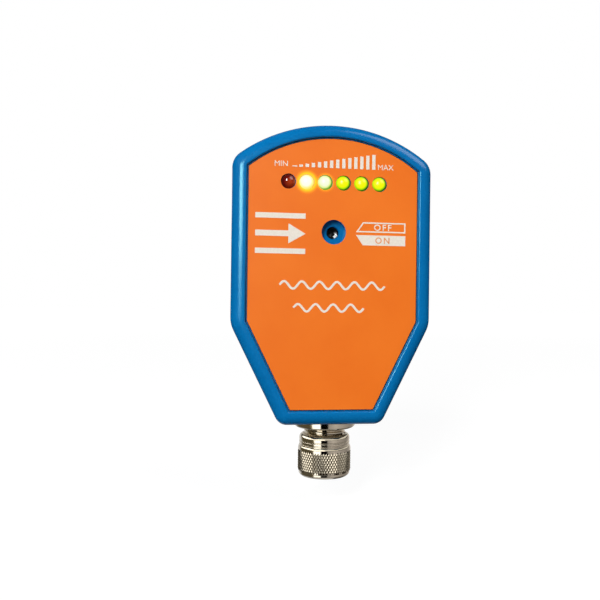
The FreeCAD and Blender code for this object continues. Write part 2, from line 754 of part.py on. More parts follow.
def fitting_o_ring():
    inner, outer = o_ring_radii()
    return ring(inner + SEAL_GAP, outer - SEAL_GAP, REAR, REAR + O_RING_DEPTH - SEAL_GAP, ORIGIN, BACK)


def process_seal():
    inner, outer = pipe_seal_radii()
    return ring(inner + SEAL_GAP, outer - SEAL_GAP, SEAL_GAP - PIPE_SEAL_DEPTH, 0, ORIGIN, BACK)


def fitting_nut():
    start = COVER_INNER - FITTING_NUT_THICKNESS
    nut = chamfered_hexagon(FITTING_NUT_ACROSS_FLATS, start, COVER_INNER, HEX_CHAMFER, ORIGIN, BACK)
    return nut.cut(rod_y(NECK_DIAMETER + 2 * NECK_GAP, 0, 0, start, COVER_INNER))


def sensor_carrier():
    return block(CARRIER_WIDTH, CARRIER_THICKNESS, 0, 0, CARRIER_START, CARRIER_END)


def sensing_element(end):
    """Small resistor chip on the carrier's upper face."""
    z = (CARRIER_THICKNESS + ELEMENT_HEIGHT) / 2
    return block(ELEMENT_WIDTH, ELEMENT_HEIGHT, 0, z, end - ELEMENT_LENGTH, end)


def heater_element():
    return sensing_element(CARRIER_END - CARRIER_TIP_GAP)


def reference_element():
    return sensing_element(CARRIER_END - CARRIER_TIP_GAP - ELEMENT_SPACING)


def plug_ring_radii():
    """Inner and outer radius of the groove in the plug's flange."""
    inner = PLUG_TAIL_DIAMETER / 2 + PLUG_RING_INSET
    return inner, inner + PLUG_RING_WIDTH


def connector_shell():
    """Plug barrel and threaded tail on a round flange with a seal groove in its upper face."""
    bore = PLUG_BORE / 2
    tail = PLUG_TAIL_DIAMETER / 2
    plug = PLUG_DIAMETER / 2
    flange = FLANGE_DIAMETER / 2
    groove_inner, groove_outer = plug_ring_radii()
    return turned(
        [
            (bore, INSERT_TOP),
            (tail, INSERT_TOP),
            (tail, FOOT),
            (groove_inner, FOOT),
            (groove_inner, FOOT - PLUG_RING_DEPTH),
            (groove_outer, FOOT - PLUG_RING_DEPTH),
            (groove_outer, FOOT),
            (flange, FOOT),
            (flange, PLUG_START + FLANGE_CHAMFER),
            (flange - FLANGE_CHAMFER, PLUG_START),
            (plug, PLUG_START),
            (plug, PLUG_END + PLUG_CHAMFER),
            (plug - PLUG_CHAMFER, PLUG_END),
            (bore, PLUG_END),
        ],
        PLUG_BASE,
        UP,
    )


def connector_insert():
    """Insulating insert with pin holes and a coding key along the plug's bore."""
    radius = PLUG_BORE / 2 - INSERT_GAP
    insert = rod(2 * radius, PLUG_BASE + UP * INSERT_FACE, PLUG_BASE + UP * INSERT_TOP)
    key_end = PLUG_END + KEY_SHORT
    key_corner = point(-KEY_WIDTH / 2, PLUG_AXIS + radius - KEY_HEIGHT, key_end)
    key = Part.makeBox(KEY_WIDTH, KEY_HEIGHT, INSERT_FACE - key_end, key_corner)
    key = key.common(rod(2 * radius, PLUG_BASE + UP * key_end, PLUG_BASE + UP * INSERT_FACE))
    insert = insert.fuse(key)
    holes = []
    for x, y in pin_places():
        hole = PIN_DIAMETER + 2 * PIN_GAP
        holes.append(rod(hole, point(x, y, INSERT_FACE), point(x, y, INSERT_TOP)))
    return insert.cut(holes)


def connector_pins():
    pins = []
    for x, y in pin_places():
        pins.append(rod(PIN_DIAMETER, point(x, y, PLUG_END + PIN_SUNK), point(x, y, PIN_TOP)))
    return Part.makeCompound(pins)


def connector_o_ring():
    inner, outer = plug_ring_radii()
    low = FOOT - PLUG_RING_DEPTH + SEAL_GAP
    return ring(inner + SEAL_GAP, outer - SEAL_GAP, low, FOOT, PLUG_BASE, UP)


def connector_nut():
    high = FOOT_INNER + PLUG_NUT_THICKNESS
    nut = chamfered_hexagon(PLUG_NUT_ACROSS_FLATS, FOOT_INNER, high, LEAST_RADIUS, PLUG_BASE, UP)
    bore = PLUG_TAIL_DIAMETER + 2 * NECK_GAP
    return nut.cut(rod(bore, PLUG_BASE + UP * FOOT_INNER, PLUG_BASE + UP * high))


def connector_cap():
    """Screw cap: coned lip, grooved collar, wider grip band and closed base."""
    bore = PLUG_DIAMETER / 2 + CAP_BORE_GAP
    collar = COLLAR_DIAMETER / 2
    grip = KNURL_DIAMETER / 2
    base = BASE_DIAMETER / 2
    collar_top = CAP_TOP - COLLAR_CONE
    collar_end = collar_top - COLLAR_LENGTH
    grip_end = collar_end - KNURL_SHOULDER - KNURL_LENGTH
    profile = [(bore, CAP_TOP), (bore + CAP_LIP_WIDTH, CAP_TOP), (collar, collar_top)]
    for index in range(2):
        groove_top = collar_top - COLLAR_GROOVE_START - index * COLLAR_GROOVE_SPACING
        groove_end = groove_top - COLLAR_GROOVE_WIDTH
        floor = collar - COLLAR_GROOVE_DEPTH
        profile += [(collar, groove_top), (floor, groove_top), (floor, groove_end), (collar, groove_end)]
    profile += [
        (collar, collar_end),
        (grip, collar_end - KNURL_SHOULDER),
        (grip, grip_end),
        (base, grip_end - KNURL_SHOULDER),
        (base, CAP_END + KNURL_SHOULDER),
        (base - KNURL_SHOULDER, CAP_END),
        (0, CAP_END),
        (0, CAP_FLOOR_TOP),
        (bore, CAP_FLOOR_TOP),
    ]
    return turned(profile, PLUG_BASE, UP)


def cap_seal():
    diameter = PLUG_DIAMETER + 2 * CAP_BORE_GAP - 2 * CAP_SEAL_EDGE_GAP
    return rod(diameter, PLUG_BASE + UP * CAP_FLOOR_TOP, PLUG_BASE + UP * CAP_SEAL_TOP)


def all_pieces():
    """Every sub-part by name."""
    pieces = {
        "front_housing": front_housing(),
        "face_label": face_label(),
        "lamp_leads": lamp_leads(),
        "lamp_holder": lamp_holder(),
        "main_board": main_board(),
        "board_screws": board_screws(),
        "trimmer_body": trimmer_body(),
        "adjuster_rotor": adjuster_rotor(),
        "controller_chip": controller_chip(),
        "regulator_chip": regulator_chip(),
        "output_transistor": output_transistor(),
        "capacitors": capacitors(),
        "sensor_header": sensor_header(),
        "sensor_wires": sensor_wires(),
        "plug_header": plug_header(),
        "plug_wires": plug_wires(),
        "rear_cover": rear_cover(),
        "cover_gasket": cover_gasket(),
        "cover_screws": cover_screws(),
        "process_fitting": process_fitting(),
        "fitting_o_ring": fitting_o_ring(),
        "process_seal": process_seal(),
        "fitting_nut": fitting_nut(),
        "sensor_carrier": sensor_carrier(),
        "heater_element": heater_element(),
        "reference_element": reference_element(),
        "connector_shell": connector_shell(),
        "connector_insert": connector_insert(),
        "connector_pins": connector_pins(),
        "connector_o_ring": connector_o_ring(),
        "connector_nut": connector_nut(),
        "connector_cap": connector_cap(),
        "cap_seal": cap_seal(),
    }
    names = ["lamp_red", "lamp_yellow"]
    names += [f"lamp_green_{number}" for number in range(1, LAMP_COUNT - 1)]
    for name, x in zip(names, lamp_places()):
        pieces[name] = lamp(x)
    return pieces


os.makedirs("parts", exist_ok=True)
for name, shape in all_pieces().items():
    shape.exportStep(f"parts/{name}.step")
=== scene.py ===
import json
import math

import bmesh
import bpy
from mathutils import Matrix, Vector


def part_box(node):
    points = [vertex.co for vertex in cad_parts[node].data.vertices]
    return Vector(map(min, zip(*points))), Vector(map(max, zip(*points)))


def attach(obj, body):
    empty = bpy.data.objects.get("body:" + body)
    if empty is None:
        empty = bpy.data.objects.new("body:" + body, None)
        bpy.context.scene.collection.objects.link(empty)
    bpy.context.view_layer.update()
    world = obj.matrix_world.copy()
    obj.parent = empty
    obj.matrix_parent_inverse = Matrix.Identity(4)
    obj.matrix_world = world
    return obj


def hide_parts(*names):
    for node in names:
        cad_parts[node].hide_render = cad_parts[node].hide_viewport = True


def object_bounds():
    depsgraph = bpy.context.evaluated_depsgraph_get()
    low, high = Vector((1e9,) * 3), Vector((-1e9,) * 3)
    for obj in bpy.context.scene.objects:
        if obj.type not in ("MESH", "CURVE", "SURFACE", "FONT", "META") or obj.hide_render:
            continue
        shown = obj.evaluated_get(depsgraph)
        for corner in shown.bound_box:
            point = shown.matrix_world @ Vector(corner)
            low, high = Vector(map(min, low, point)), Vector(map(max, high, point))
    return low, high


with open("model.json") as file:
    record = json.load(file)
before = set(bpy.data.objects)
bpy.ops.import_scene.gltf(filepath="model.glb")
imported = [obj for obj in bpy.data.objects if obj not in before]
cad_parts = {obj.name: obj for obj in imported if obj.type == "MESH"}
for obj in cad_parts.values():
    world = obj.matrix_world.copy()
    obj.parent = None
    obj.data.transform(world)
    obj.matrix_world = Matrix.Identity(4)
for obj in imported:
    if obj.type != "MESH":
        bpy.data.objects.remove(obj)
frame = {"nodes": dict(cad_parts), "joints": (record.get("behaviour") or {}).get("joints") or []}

# Looks of an electronic flow switch: blue moulded housing, orange face film, lit lamps,
# nickel-plated plug with a knurled cap, and a stainless pipe fitting with its probe.
# Sizes are in millimetres and turned to metres where a mesh is made.

cad_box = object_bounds()
MM = 0.001
NODES = frame["nodes"]


def box_of(node):
    """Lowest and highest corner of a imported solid, in millimetres."""
    return [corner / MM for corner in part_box(node)]


def centre_of(node):
    """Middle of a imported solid, in metres."""
    return sum(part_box(node), Vector()) / 2


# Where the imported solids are, in millimetres
plug_low, plug_high = box_of("connector_shell")
cap_low, cap_high = box_of("connector_cap")
fitting_low, fitting_high = box_of("process_fitting")
LABEL_FACE = box_of("face_label")[0].y
COVER_BACK = box_of("rear_cover")[1].y
CAP_FLOOR = box_of("cap_seal")[0].z
PLUG_AXIS = (cap_low.y + cap_high.y) / 2

# Lamp centres and the cap's travel, in metres
LAMP_NAMES = ["lamp_red", "lamp_yellow"] + [f"lamp_green_{number}" for number in range(1, 5)]
lamp_centres = {name: centre_of(name) for name in LAMP_NAMES}
CAP_TRAVEL = next(joint["range_m"][1] for joint in frame["joints"] if joint["name"] == "cap_travel")

# Turned pieces: points in a row and in a rounded corner, how many such rounds a side has room for,
# the angle from which an edge shows as an edge, and the distance in metres at which points are one
AROUND = 120
EASE_STEPS = 5
EASE_ROOM = 2.2
SHARP_EDGE = math.radians(32)
WELD = 1e-7
ALONG_PLUG = Matrix.Translation((0, PLUG_AXIS * MM, 0))
ALONG_PROBE = Matrix.Rotation(-math.pi / 2, 4, "X")


# Shader helpers


def linear(hex_colour):
    """A linear colour from an sRGB hex value."""
    shares = [int(hex_colour[place : place + 2], 16) / 255 for place in (1, 3, 5)]
    straight = [s / 12.92 if s <= 0.04045 else ((s + 0.055) / 1.055) ** 2.4 for s in shares]
    return (*straight, 1.0)


def add(tree, kind, inputs, stops=(), **settings):
    """A shader node with its settings and links.

    An input is a plain value, an output socket, or a node whose first output is linked.
    stops are the places and hex colours of a colour ramp, in rising order.
    """
    made = tree.nodes.new(kind)
    for name, value in settings.items():
        setattr(made, name, value)
    for name, value in inputs.items():
        if isinstance(value, bpy.types.Node):
            value = value.outputs[0]
        if isinstance(value, bpy.types.NodeSocket):
            tree.links.new(value, made.inputs[name])
        else:
            made.inputs[name].default_value = value
    for index, (position, colour) in enumerate(stops):
        if index > 1:
            made.color_ramp.elements.new(1.0)
        made.color_ramp.elements[index].position = position
        made.color_ramp.elements[index].color = linear(colour)
    return made


def new_material(name):
    """An empty material, its node tree and the object-space coordinates in it."""
    material = bpy.data.materials.new(name)
    material.use_nodes = True
    tree = material.node_tree
    tree.nodes.clear()
    place = add(tree, "ShaderNodeTexCoord", {}).outputs["Object"]
    return material, tree, place


def finished(material, tree, surface):
    """The material with its surface: what the shader's inputs are set or linked to."""
    shader = add(tree, "ShaderNodeBsdfPrincipled", surface)
    add(tree, "ShaderNodeOutputMaterial", {"Surface": shader})
    return material


def per_metre(size):
    """Pattern scale at which one feature is size millimetres."""
    return 1 / (size * MM)


# Materials


def moulded_plastic(name, deep, light, roughness, grit, relief, ior):
    """Moulded plastic with the fine erosion grain of its mould.

    It gives the eye an even colour and a highlight with a slightly rough edge. Real grit is near
    0.1 mm; it is drawn grit millimetres wide and relief millimetres high so that it shows.
    """
    material, tree, place = new_material(name)
    fine = add(tree, "ShaderNodeTexNoise", {"Vector": place, "Scale": per_metre(grit), "Detail": 3})
    clouds = add(tree, "ShaderNodeTexNoise", {"Vector": place, "Scale": per_metre(9), "Detail": 2})
    mottle = add(tree, "ShaderNodeMath", {0: fine, 1: clouds}, operation="MULTIPLY")
    share = add(tree, "ShaderNodeMapRange", {"Value": mottle, "From Min": 0.1, "From Max": 0.4})
    tint = add(tree, "ShaderNodeValToRGB", {"Fac": share}, [(0, deep), (1, light)])
    gloss = {"Value": fine, "To Min": roughness - 0.05, "To Max": roughness + 0.05}
    bump = add(tree, "ShaderNodeBump", {"Height": fine, "Strength": 0.6, "Distance": relief * MM})
    surface = {
        "Base Color": tint,
        "Roughness": add(tree, "ShaderNodeMapRange", gloss),
        "IOR": ior,
        "Normal": bump,
    }
    return finished(material, tree, surface)


# Glow on the film: where it starts, how fast it falls, and each lamp's reach and strength
GLOW_START = 1.7
GLOW_FALL = 2.2
GLOWING_LAMPS = (("lamp_yellow", 4.2, 1.0), ("lamp_green_1", 3.4, 0.4))


def lamp_glow(tree, place):
    """Light that the lit lamps throw on the film round them, from 0 to 1."""
    total = 0.0
    for name, reach, strength in GLOWING_LAMPS:
        centre = lamp_centres[name].copy()
        centre.y = LABEL_FACE * MM
        away = add(tree, "ShaderNodeVectorMath", {0: place, 1: centre}, operation="DISTANCE")
        ring = {
            "Value": away.outputs["Value"],
            "From Min": GLOW_START * MM,
            "From Max": reach * MM,
            "To Min": 1.0,
            "To Max": 0.0,
        }
        fade = add(tree, "ShaderNodeMapRange", ring, interpolation_type="SMOOTHERSTEP")
        curve = add(tree, "ShaderNodeMath", {0: fade, 1: GLOW_FALL}, operation="POWER")
        inputs = {0: curve, 1: strength, 2: total}
        total = add(tree, "ShaderNodeMath", inputs, operation="MULTIPLY_ADD")
    return total


def polyester_film_printed():
    """Satin polyester film, printed orange from behind: an even colour, a soft broad gloss."""
    material, tree, place = new_material("polyester_film_printed_orange")
    satin = add(tree, "ShaderNodeTexNoise", {"Vector": place, "Scale": per_metre(0.45), "Detail": 2})
    ink = add(tree, "ShaderNodeTexNoise", {"Vector": place, "Scale": per_metre(14), "Detail": 3})
    tint = add(tree, "ShaderNodeValToRGB", {"Fac": ink}, [(0.3, "#EC7016"), (0.7, "#F1781C")])
    bump = add(tree, "ShaderNodeBump", {"Height": satin, "Strength": 0.35, "Distance": 0.006 * MM})
    surface = {
        "Base Color": tint,
        "Roughness": add(tree, "ShaderNodeMapRange", {"Value": satin, "To Min": 0.26, "To Max": 0.36}),
        "IOR": 1.57,
        "Normal": bump,
        "Emission Color": linear("#F2CA00"),
        "Emission Strength": lamp_glow(tree, place),
    }
    return finished(material, tree, surface)


def screen_print_ink(name, thin, full):
    """Opaque screen ink: matt, with the faint unevenness that the printing mesh leaves."""
    material, tree, place = new_material(name)
    marks = add(tree, "ShaderNodeTexNoise", {"Vector": place, "Scale": per_metre(0.4), "Detail": 2})
    bump = add(tree, "ShaderNodeBump", {"Height": marks, "Strength": 0.3, "Distance": 0.008 * MM})
    surface = {
        "Base Color": add(tree, "ShaderNodeValToRGB", {"Fac": marks}, [(0.3, thin), (0.7, full)]),
        "Roughness": add(tree, "ShaderNodeMapRange", {"Value": marks, "To Min": 0.5, "To Max": 0.65}),
        "IOR": 1.5,
        "Normal": bump,
    }
    return finished(material, tree, surface)


# Lenses: how far from the dome's axis a lit lens's glow is centred, which paints shade on its right
# side, and where a dark lens's colour is painted lighter by gathered light, in millimetres, and how much
# the haze in the epoxy moves the rings, as a share of their reach
GLOW_SHIFT_LEFT = 0.28
GLOW_SHIFT_UP = 0.12
GATHER_RIGHT = 0.6
GATHER_DOWN = 0.5
LENS_HAZE = 0.04


def lens_rings(tree, place, middle, stops):
    """Rings of colour round a spot of a lens; stops give each colour's radius in millimetres."""
    flat = add(tree, "ShaderNodeVectorMath", {0: place, 1: (1, 0, 1)}, operation="MULTIPLY")
    away = add(tree, "ShaderNodeVectorMath", {0: flat, 1: middle}, operation="DISTANCE")
    haze = add(tree, "ShaderNodeTexNoise", {"Vector": place, "Scale": per_metre(0.8), "Detail": 2})
    reach = stops[-1][0]
    share = {"Value": away.outputs["Value"], "From Max": reach * MM}
    wave = {"Value": haze, "To Min": -LENS_HAZE, "To Max": LENS_HAZE}
    wavy = {
        0: add(tree, "ShaderNodeMapRange", share),
        1: add(tree, "ShaderNodeMapRange", wave),
    }
    radius = add(tree, "ShaderNodeMath", wavy, operation="ADD")
    rings = [(out / reach, colour) for out, colour in stops]
    return add(tree, "ShaderNodeValToRGB", {"Fac": radius}, rings)


def cast_epoxy_lit(name, centre, body, stops):
    """Tinted epoxy dome over a glowing die: the light fills the lens and dims to its rim.

    The glow's centre is moved a little to the upper left of the dome's axis, which paints shade on the
    lens's right side.
    """
    material, tree, place = new_material(name)
    # Glow centred up and to the left: painted shade on the lens's right side
    shaded_glow_centre = (centre.x - GLOW_SHIFT_LEFT * MM, 0, centre.z + GLOW_SHIFT_UP * MM)
    surface = {
        "Base Color": linear(body),
        "Roughness": 0.3,
        "IOR": 1.54,
        "Emission Color": lens_rings(tree, place, shaded_glow_centre, stops),
        "Emission Strength": 1.0,
    }
    return finished(material, tree, surface)


def cast_epoxy_dark(name, centre, stops):
    """Tinted epoxy dome that is off: a sharp glint, and painted light gathered at the lower right."""
    material, tree, place = new_material(name)
    # Colour painted lighter round a spot at the lower right: painted gathered light
    gathered = (centre.x + GATHER_RIGHT * MM, 0, centre.z - GATHER_DOWN * MM)
    surface = {
        "Base Color": lens_rings(tree, place, gathered, stops),
        "Roughness": 0.05,
        "IOR": 1.54,
        "Coat Weight": 0.5,
        "Coat Roughness": 0.03,
    }
    return finished(material, tree, surface)


# Sockets of a mix node that mixes colours
MIX_SHARE = 0
MIX_UNDER = 6
MIX_OVER = 7
MIX_RESULT = 2

# Metal: how far a tool mark runs in millimetres, and the level of the mesh's groove mark from which
# painted shade shows
MARK_LENGTH = 40.0
GROOVE_SHADE_FROM = 0.85


def turned_metal(name, deep, light, roughness, axis, pitch):
    """Metal turned on a lathe: fine rings round its axis break the mirror into soft streaks.

    Tool marks near 0.05 mm apart are drawn pitch millimetres apart so that they show.
    Where the mesh marks grooves, as in the roots of a knurl, painted shade darkens the metal.
    """
    material, tree, place = new_material(name)
    along = per_metre(pitch)
    across = per_metre(MARK_LENGTH)
    stretch = (across, along, across) if axis == "Y" else (across, across, along)
    lines = add(tree, "ShaderNodeVectorMath", {0: place, 1: stretch}, operation="MULTIPLY")
    rings = add(tree, "ShaderNodeTexNoise", {"Vector": lines, "Scale": 1.0, "Detail": 2})
    tarnish = add(tree, "ShaderNodeTexNoise", {"Vector": place, "Scale": per_metre(5), "Detail": 4})
    gloss = {"Value": rings, "To Min": roughness - 0.04, "To Max": roughness + 0.06}
    bump = add(tree, "ShaderNodeBump", {"Height": rings, "Strength": 0.25, "Distance": 0.01 * MM})
    mark = add(tree, "ShaderNodeAttribute", {}, attribute_name="painted_groove_shade")
    painted_groove_shade = {"Value": mark.outputs["Fac"], "From Min": GROOVE_SHADE_FROM, "From Max": 1.0}
    layers = {
        MIX_SHARE: add(tree, "ShaderNodeMapRange", painted_groove_shade, interpolation_type="SMOOTHSTEP"),
        MIX_UNDER: add(tree, "ShaderNodeValToRGB", {"Fac": tarnish}, [(0.3, deep), (0.7, light)]),
        # Dark colour of the painted shade in the grooves
        MIX_OVER: linear("#241E14"),
    }
    groove_shaded = add(tree, "ShaderNodeMix", layers, data_type="RGBA")
    surface = {
        "Base Color": groove_shaded.outputs[MIX_RESULT],
        "Metallic": 1.0,
        "Roughness": add(tree, "ShaderNodeMapRange", gloss),
        "Normal": bump,
    }
    return finished(material, tree, surface)


def moulded_rubber(name, deep, light):
    """Moulded rubber, or the dark strip of painted shadow round the film: dark, with a dusty bloom and
    no clear highlight.
    """
    material, tree, place = new_material(name)
    bloom = add(tree, "ShaderNodeTexNoise", {"Vector": place, "Scale": per_metre(1.2), "Detail": 4})
    bump = add(tree, "ShaderNodeBump", {"Height": bloom, "Strength": 0.4, "Distance": 0.02 * MM})
    surface = {
        "Base Color": add(tree, "ShaderNodeValToRGB", {"Fac": bloom}, [(0, deep), (1, light)]),
        "Roughness": add(tree, "ShaderNodeMapRange", {"Value": bloom, "To Min": 0.68, "To Max": 0.85}),
        "IOR": 1.52,
        "Normal": bump,
    }
    return finished(material, tree, surface)


def glass_epoxy_board():
    """Glass-epoxy laminate under green solder mask: a faint weave and darker copper tracks."""
    material, tree, place = new_material("glass_epoxy_board_masked")
    turned = add(tree, "ShaderNodeMapping", {"Vector": place, "Rotation": (math.pi / 2, 0, 0)})
    grid = {
        "Vector": turned,
        "Color1": linear("#0F6B35"),
        "Color2": linear("#137A3C"),
        "Mortar": linear("#0A4A25"),
        "Scale": per_metre(2.54),
        "Mortar Size": 0.06,
        "Brick Width": 3.0,
        "Row Height": 0.5,
    }
    weave = add(tree, "ShaderNodeTexNoise", {"Vector": place, "Scale": per_metre(0.5), "Detail": 2})
    bump = add(tree, "ShaderNodeBump", {"Height": weave, "Strength": 0.3, "Distance": 0.02 * MM})
    surface = {
        "Base Color": add(tree, "ShaderNodeTexBrick", grid),
        "Roughness": add(tree, "ShaderNodeMapRange", {"Value": weave, "To Min": 0.25, "To Max": 0.4}),
        "IOR": 1.5,
        "Normal": bump,
    }
    return finished(material, tree, surface)


def wire_insulation(name, side_axis, split):
    """Extruded wire insulation in four colours, one to a wire, with a soft waxy gloss."""
    material, tree, place = new_material(name)
    parts = add(tree, "ShaderNodeSeparateXYZ", {"Vector": place})
    right = add(tree, "ShaderNodeMath", {0: parts.outputs["X"], 1: 0.0}, operation="GREATER_THAN")
    side = parts.outputs[side_axis]
    far = add(tree, "ShaderNodeMath", {0: side, 1: split}, operation="GREATER_THAN")
    # A quarter of the ramp to a wire: the right pair is half a ramp on, the far wire a quarter
    pair = add(tree, "ShaderNodeMath", {0: right, 1: 0.5, 2: 0.125}, operation="MULTIPLY_ADD")
    wire = add(tree, "ShaderNodeMath", {0: far, 1: 0.25, 2: pair}, operation="MULTIPLY_ADD")
    colours = [(0, "#5A2E16"), (0.25, "#E8E6E0"), (0.5, "#1E5AA8"), (0.75, "#161617")]
    tint = add(tree, "ShaderNodeValToRGB", {"Fac": wire}, colours)
    tint.color_ramp.interpolation = "CONSTANT"
    drag = add(tree, "ShaderNodeTexNoise", {"Vector": place, "Scale": per_metre(0.7), "Detail": 3})
    bump = add(tree, "ShaderNodeBump", {"Height": drag, "Strength": 0.3, "Distance": 0.02 * MM})
    surface = {
        "Base Color": tint,
        "Roughness": add(tree, "ShaderNodeMapRange", {"Value": drag, "To Min": 0.4, "To Max": 0.55}),
        "IOR": 1.53,
        "Normal": bump,
    }
    return finished(material, tree, surface)


def fired_ceramic(name, deep, light, roughness):
    """Fired ceramic: dense and faintly speckled, with a half-matt skin."""
    material, tree, place = new_material(name)
    speckle = add(tree, "ShaderNodeTexNoise", {"Vector": place, "Scale": per_metre(0.6), "Detail": 4})
    gloss = {"Value": speckle, "To Min": roughness - 0.05, "To Max": roughness + 0.1}
    bump = add(tree, "ShaderNodeBump", {"Height": speckle, "Strength": 0.3, "Distance": 0.01 * MM})
    surface = {
        "Base Color": add(tree, "ShaderNodeValToRGB", {"Fac": speckle}, [(0, deep), (1, light)]),
        "Roughness": add(tree, "ShaderNodeMapRange", gloss),
        "IOR": 1.7,
        "Normal": bump,
    }
    return finished(material, tree, surface)


# Patch of painted light on the rotor, shaped as a pointer at one end of its slot: where it starts, half
# its width and the unevenness of its edge, in millimetres
LIT_PATCH_START = 0.77
LIT_PATCH_HALF = 0.57
LIT_PATCH_WOBBLE = 0.08
LIT_PATCH_DOWN = math.radians(-46)


def rotor_painted_light_patch():
    """Black moulded rotor with a white patch at one end of its screwdriver slot: painted light where
    light falls on its lower right.
    """
    material, tree, place = new_material("polyamide_moulded_black_painted_light")
    along = (math.cos(LIT_PATCH_DOWN), 0, math.sin(LIT_PATCH_DOWN))
    across = (-math.sin(LIT_PATCH_DOWN), 0, math.cos(LIT_PATCH_DOWN))
    grain = add(tree, "ShaderNodeTexNoise", {"Vector": place, "Scale": per_metre(0.3), "Detail": 3})
    uneven = {"Value": grain, "To Min": -LIT_PATCH_WOBBLE * MM, "To Max": LIT_PATCH_WOBBLE * MM}
    patch_wobble = add(tree, "ShaderNodeMapRange", uneven)
    reach = add(tree, "ShaderNodeVectorMath", {0: place, 1: along}, operation="DOT_PRODUCT")
    side = add(tree, "ShaderNodeVectorMath", {0: place, 1: across}, operation="DOT_PRODUCT")
    wavy = add(tree, "ShaderNodeMath", {0: reach.outputs["Value"], 1: patch_wobble}, operation="ADD")
    aside = add(tree, "ShaderNodeMath", {0: side.outputs["Value"]}, operation="ABSOLUTE")
    far = add(tree, "ShaderNodeMath", {0: wavy, 1: LIT_PATCH_START * MM}, operation="GREATER_THAN")
    near = add(tree, "ShaderNodeMath", {0: aside, 1: LIT_PATCH_HALF * MM}, operation="LESS_THAN")
    painted_light_patch = add(tree, "ShaderNodeMath", {0: far, 1: near}, operation="MULTIPLY")
    # Black of the rotor, and white of the patch of painted light
    colours = [(0, "#070707"), (1, "#FBFBF8")]
    bump = add(tree, "ShaderNodeBump", {"Height": grain, "Strength": 0.4, "Distance": 0.02 * MM})
    surface = {
        "Base Color": add(tree, "ShaderNodeValToRGB", {"Fac": painted_light_patch}, colours),
        "Roughness": add(tree, "ShaderNodeMapRange", {"Value": grain, "To Min": 0.2, "To Max": 0.3}),
        "IOR": 1.53,
        "Normal": bump,
    }
    return finished(material, tree, surface)


# Meshes


def swung(radius, angle, height):
    """Point at a radius, an angle and a height round the axis."""
    return (radius * math.cos(angle), radius * math.sin(angle), height)


def row(radius, height):
    """One row of points round an axis; radius and height are numbers or functions of the angle."""
    points = []
    for step in range(AROUND):
        angle = 2 * math.pi * step / AROUND
        out = radius(angle) if callable(radius) else radius
        up = height(angle) if callable(height) else height
        points.append(swung(out, angle, up))
    return points


def skin(mesh, rows, climb=0):
    """Faces between neighbouring rows; climb is how many rows a helix rises in one turn."""
    last = len(rows) - 1
    points = [[mesh.verts.new(Vector(spot) * MM) for spot in one_row] for one_row in rows]
    for low in range(last):
        for step in range(AROUND):
            onward = (step + 1) % AROUND
            rise = climb if onward == 0 else 0
            corners = [
                points[low][step],
                points[min(low + rise, last)][onward],
                points[min(low + 1 + rise, last)][onward],
                points[low + 1][step],
            ]
            corners = list(dict.fromkeys(corners))
            if len(corners) > 2:
                mesh.faces.new(corners)


def eased(profile, size):
    """A turned profile of (radius, height) points with its corners broken by a small round."""
    smooth = [profile[0]]
    for before, corner, after in zip(profile, profile[1:], profile[2:]):
        spot, back, on = Vector(corner), Vector(before), Vector(after)
        reach = min(size, (back - spot).length / EASE_ROOM, (on - spot).length / EASE_ROOM)
        start = (back - spot).normalized() * reach
        end = (on - spot).normalized() * reach
        for step in range(EASE_STEPS + 1):
            share = step / EASE_STEPS
            smooth.append(tuple(spot + start * (1 - share) ** 2 + end * share**2))
    return smooth + [profile[-1]]


def lathe(mesh, profile):
    """Skin turned from a profile of (radius, height) points."""
    skin(mesh, [row(radius, height) for radius, height in profile])


def ring_groove(first, second, face, floor):
    """Profile points of a seal ring's groove between two radii, from its face to its floor."""
    return [(first, face), (first, floor), (second, floor), (second, face)]


# Form of a thread: shares of the pitch, each with its share of the height from root to crest
THREAD_FORM = ((0.0, 0.0), (0.12, 0.0), (0.43, 1.0), (0.69, 1.0))


def thread(mesh, start, end, crest, root, pitch, fade):
    """V thread along the axis from start to end, running out to the root at both ends."""
    rise = 1 if end > start else -1
    length = abs(end - start)
    rows = []
    for turn in range(-1, math.ceil(length / pitch) + 1):
        for share, tall in THREAD_FORM:
            points = []
            for step in range(AROUND):
                angle = 2 * math.pi * step / AROUND
                along = pitch * (turn + share + step / AROUND)
                along = min(max(along, 0), length)
                room = min(along, length - along)
                out = root + (crest - root) * tall * min(1, room / fade)
                points.append(swung(out, angle, start + rise * along))
            rows.append(points)
    skin(mesh, rows, climb=len(THREAD_FORM))


def hexagon_rows(across_flats, low, high, face_radius, slope):
    """Rows of a hexagon whose corners are turned off by cones at both ends."""

    def flat(angle):
        """Radius of the flats."""
        swing = angle % (math.pi / 3) - math.pi / 6
        return across_flats / 2 / math.cos(swing)

    def lower(angle):
        """Height at which the lower cone meets the flats."""
        return low + (flat(angle) - face_radius) * slope

    def upper(angle):
        """Height at which the upper cone meets the flats."""
        return high - (flat(angle) - face_radius) * slope

    return [row(face_radius, low), row(flat, lower), row(flat, upper), row(face_radius, high)]


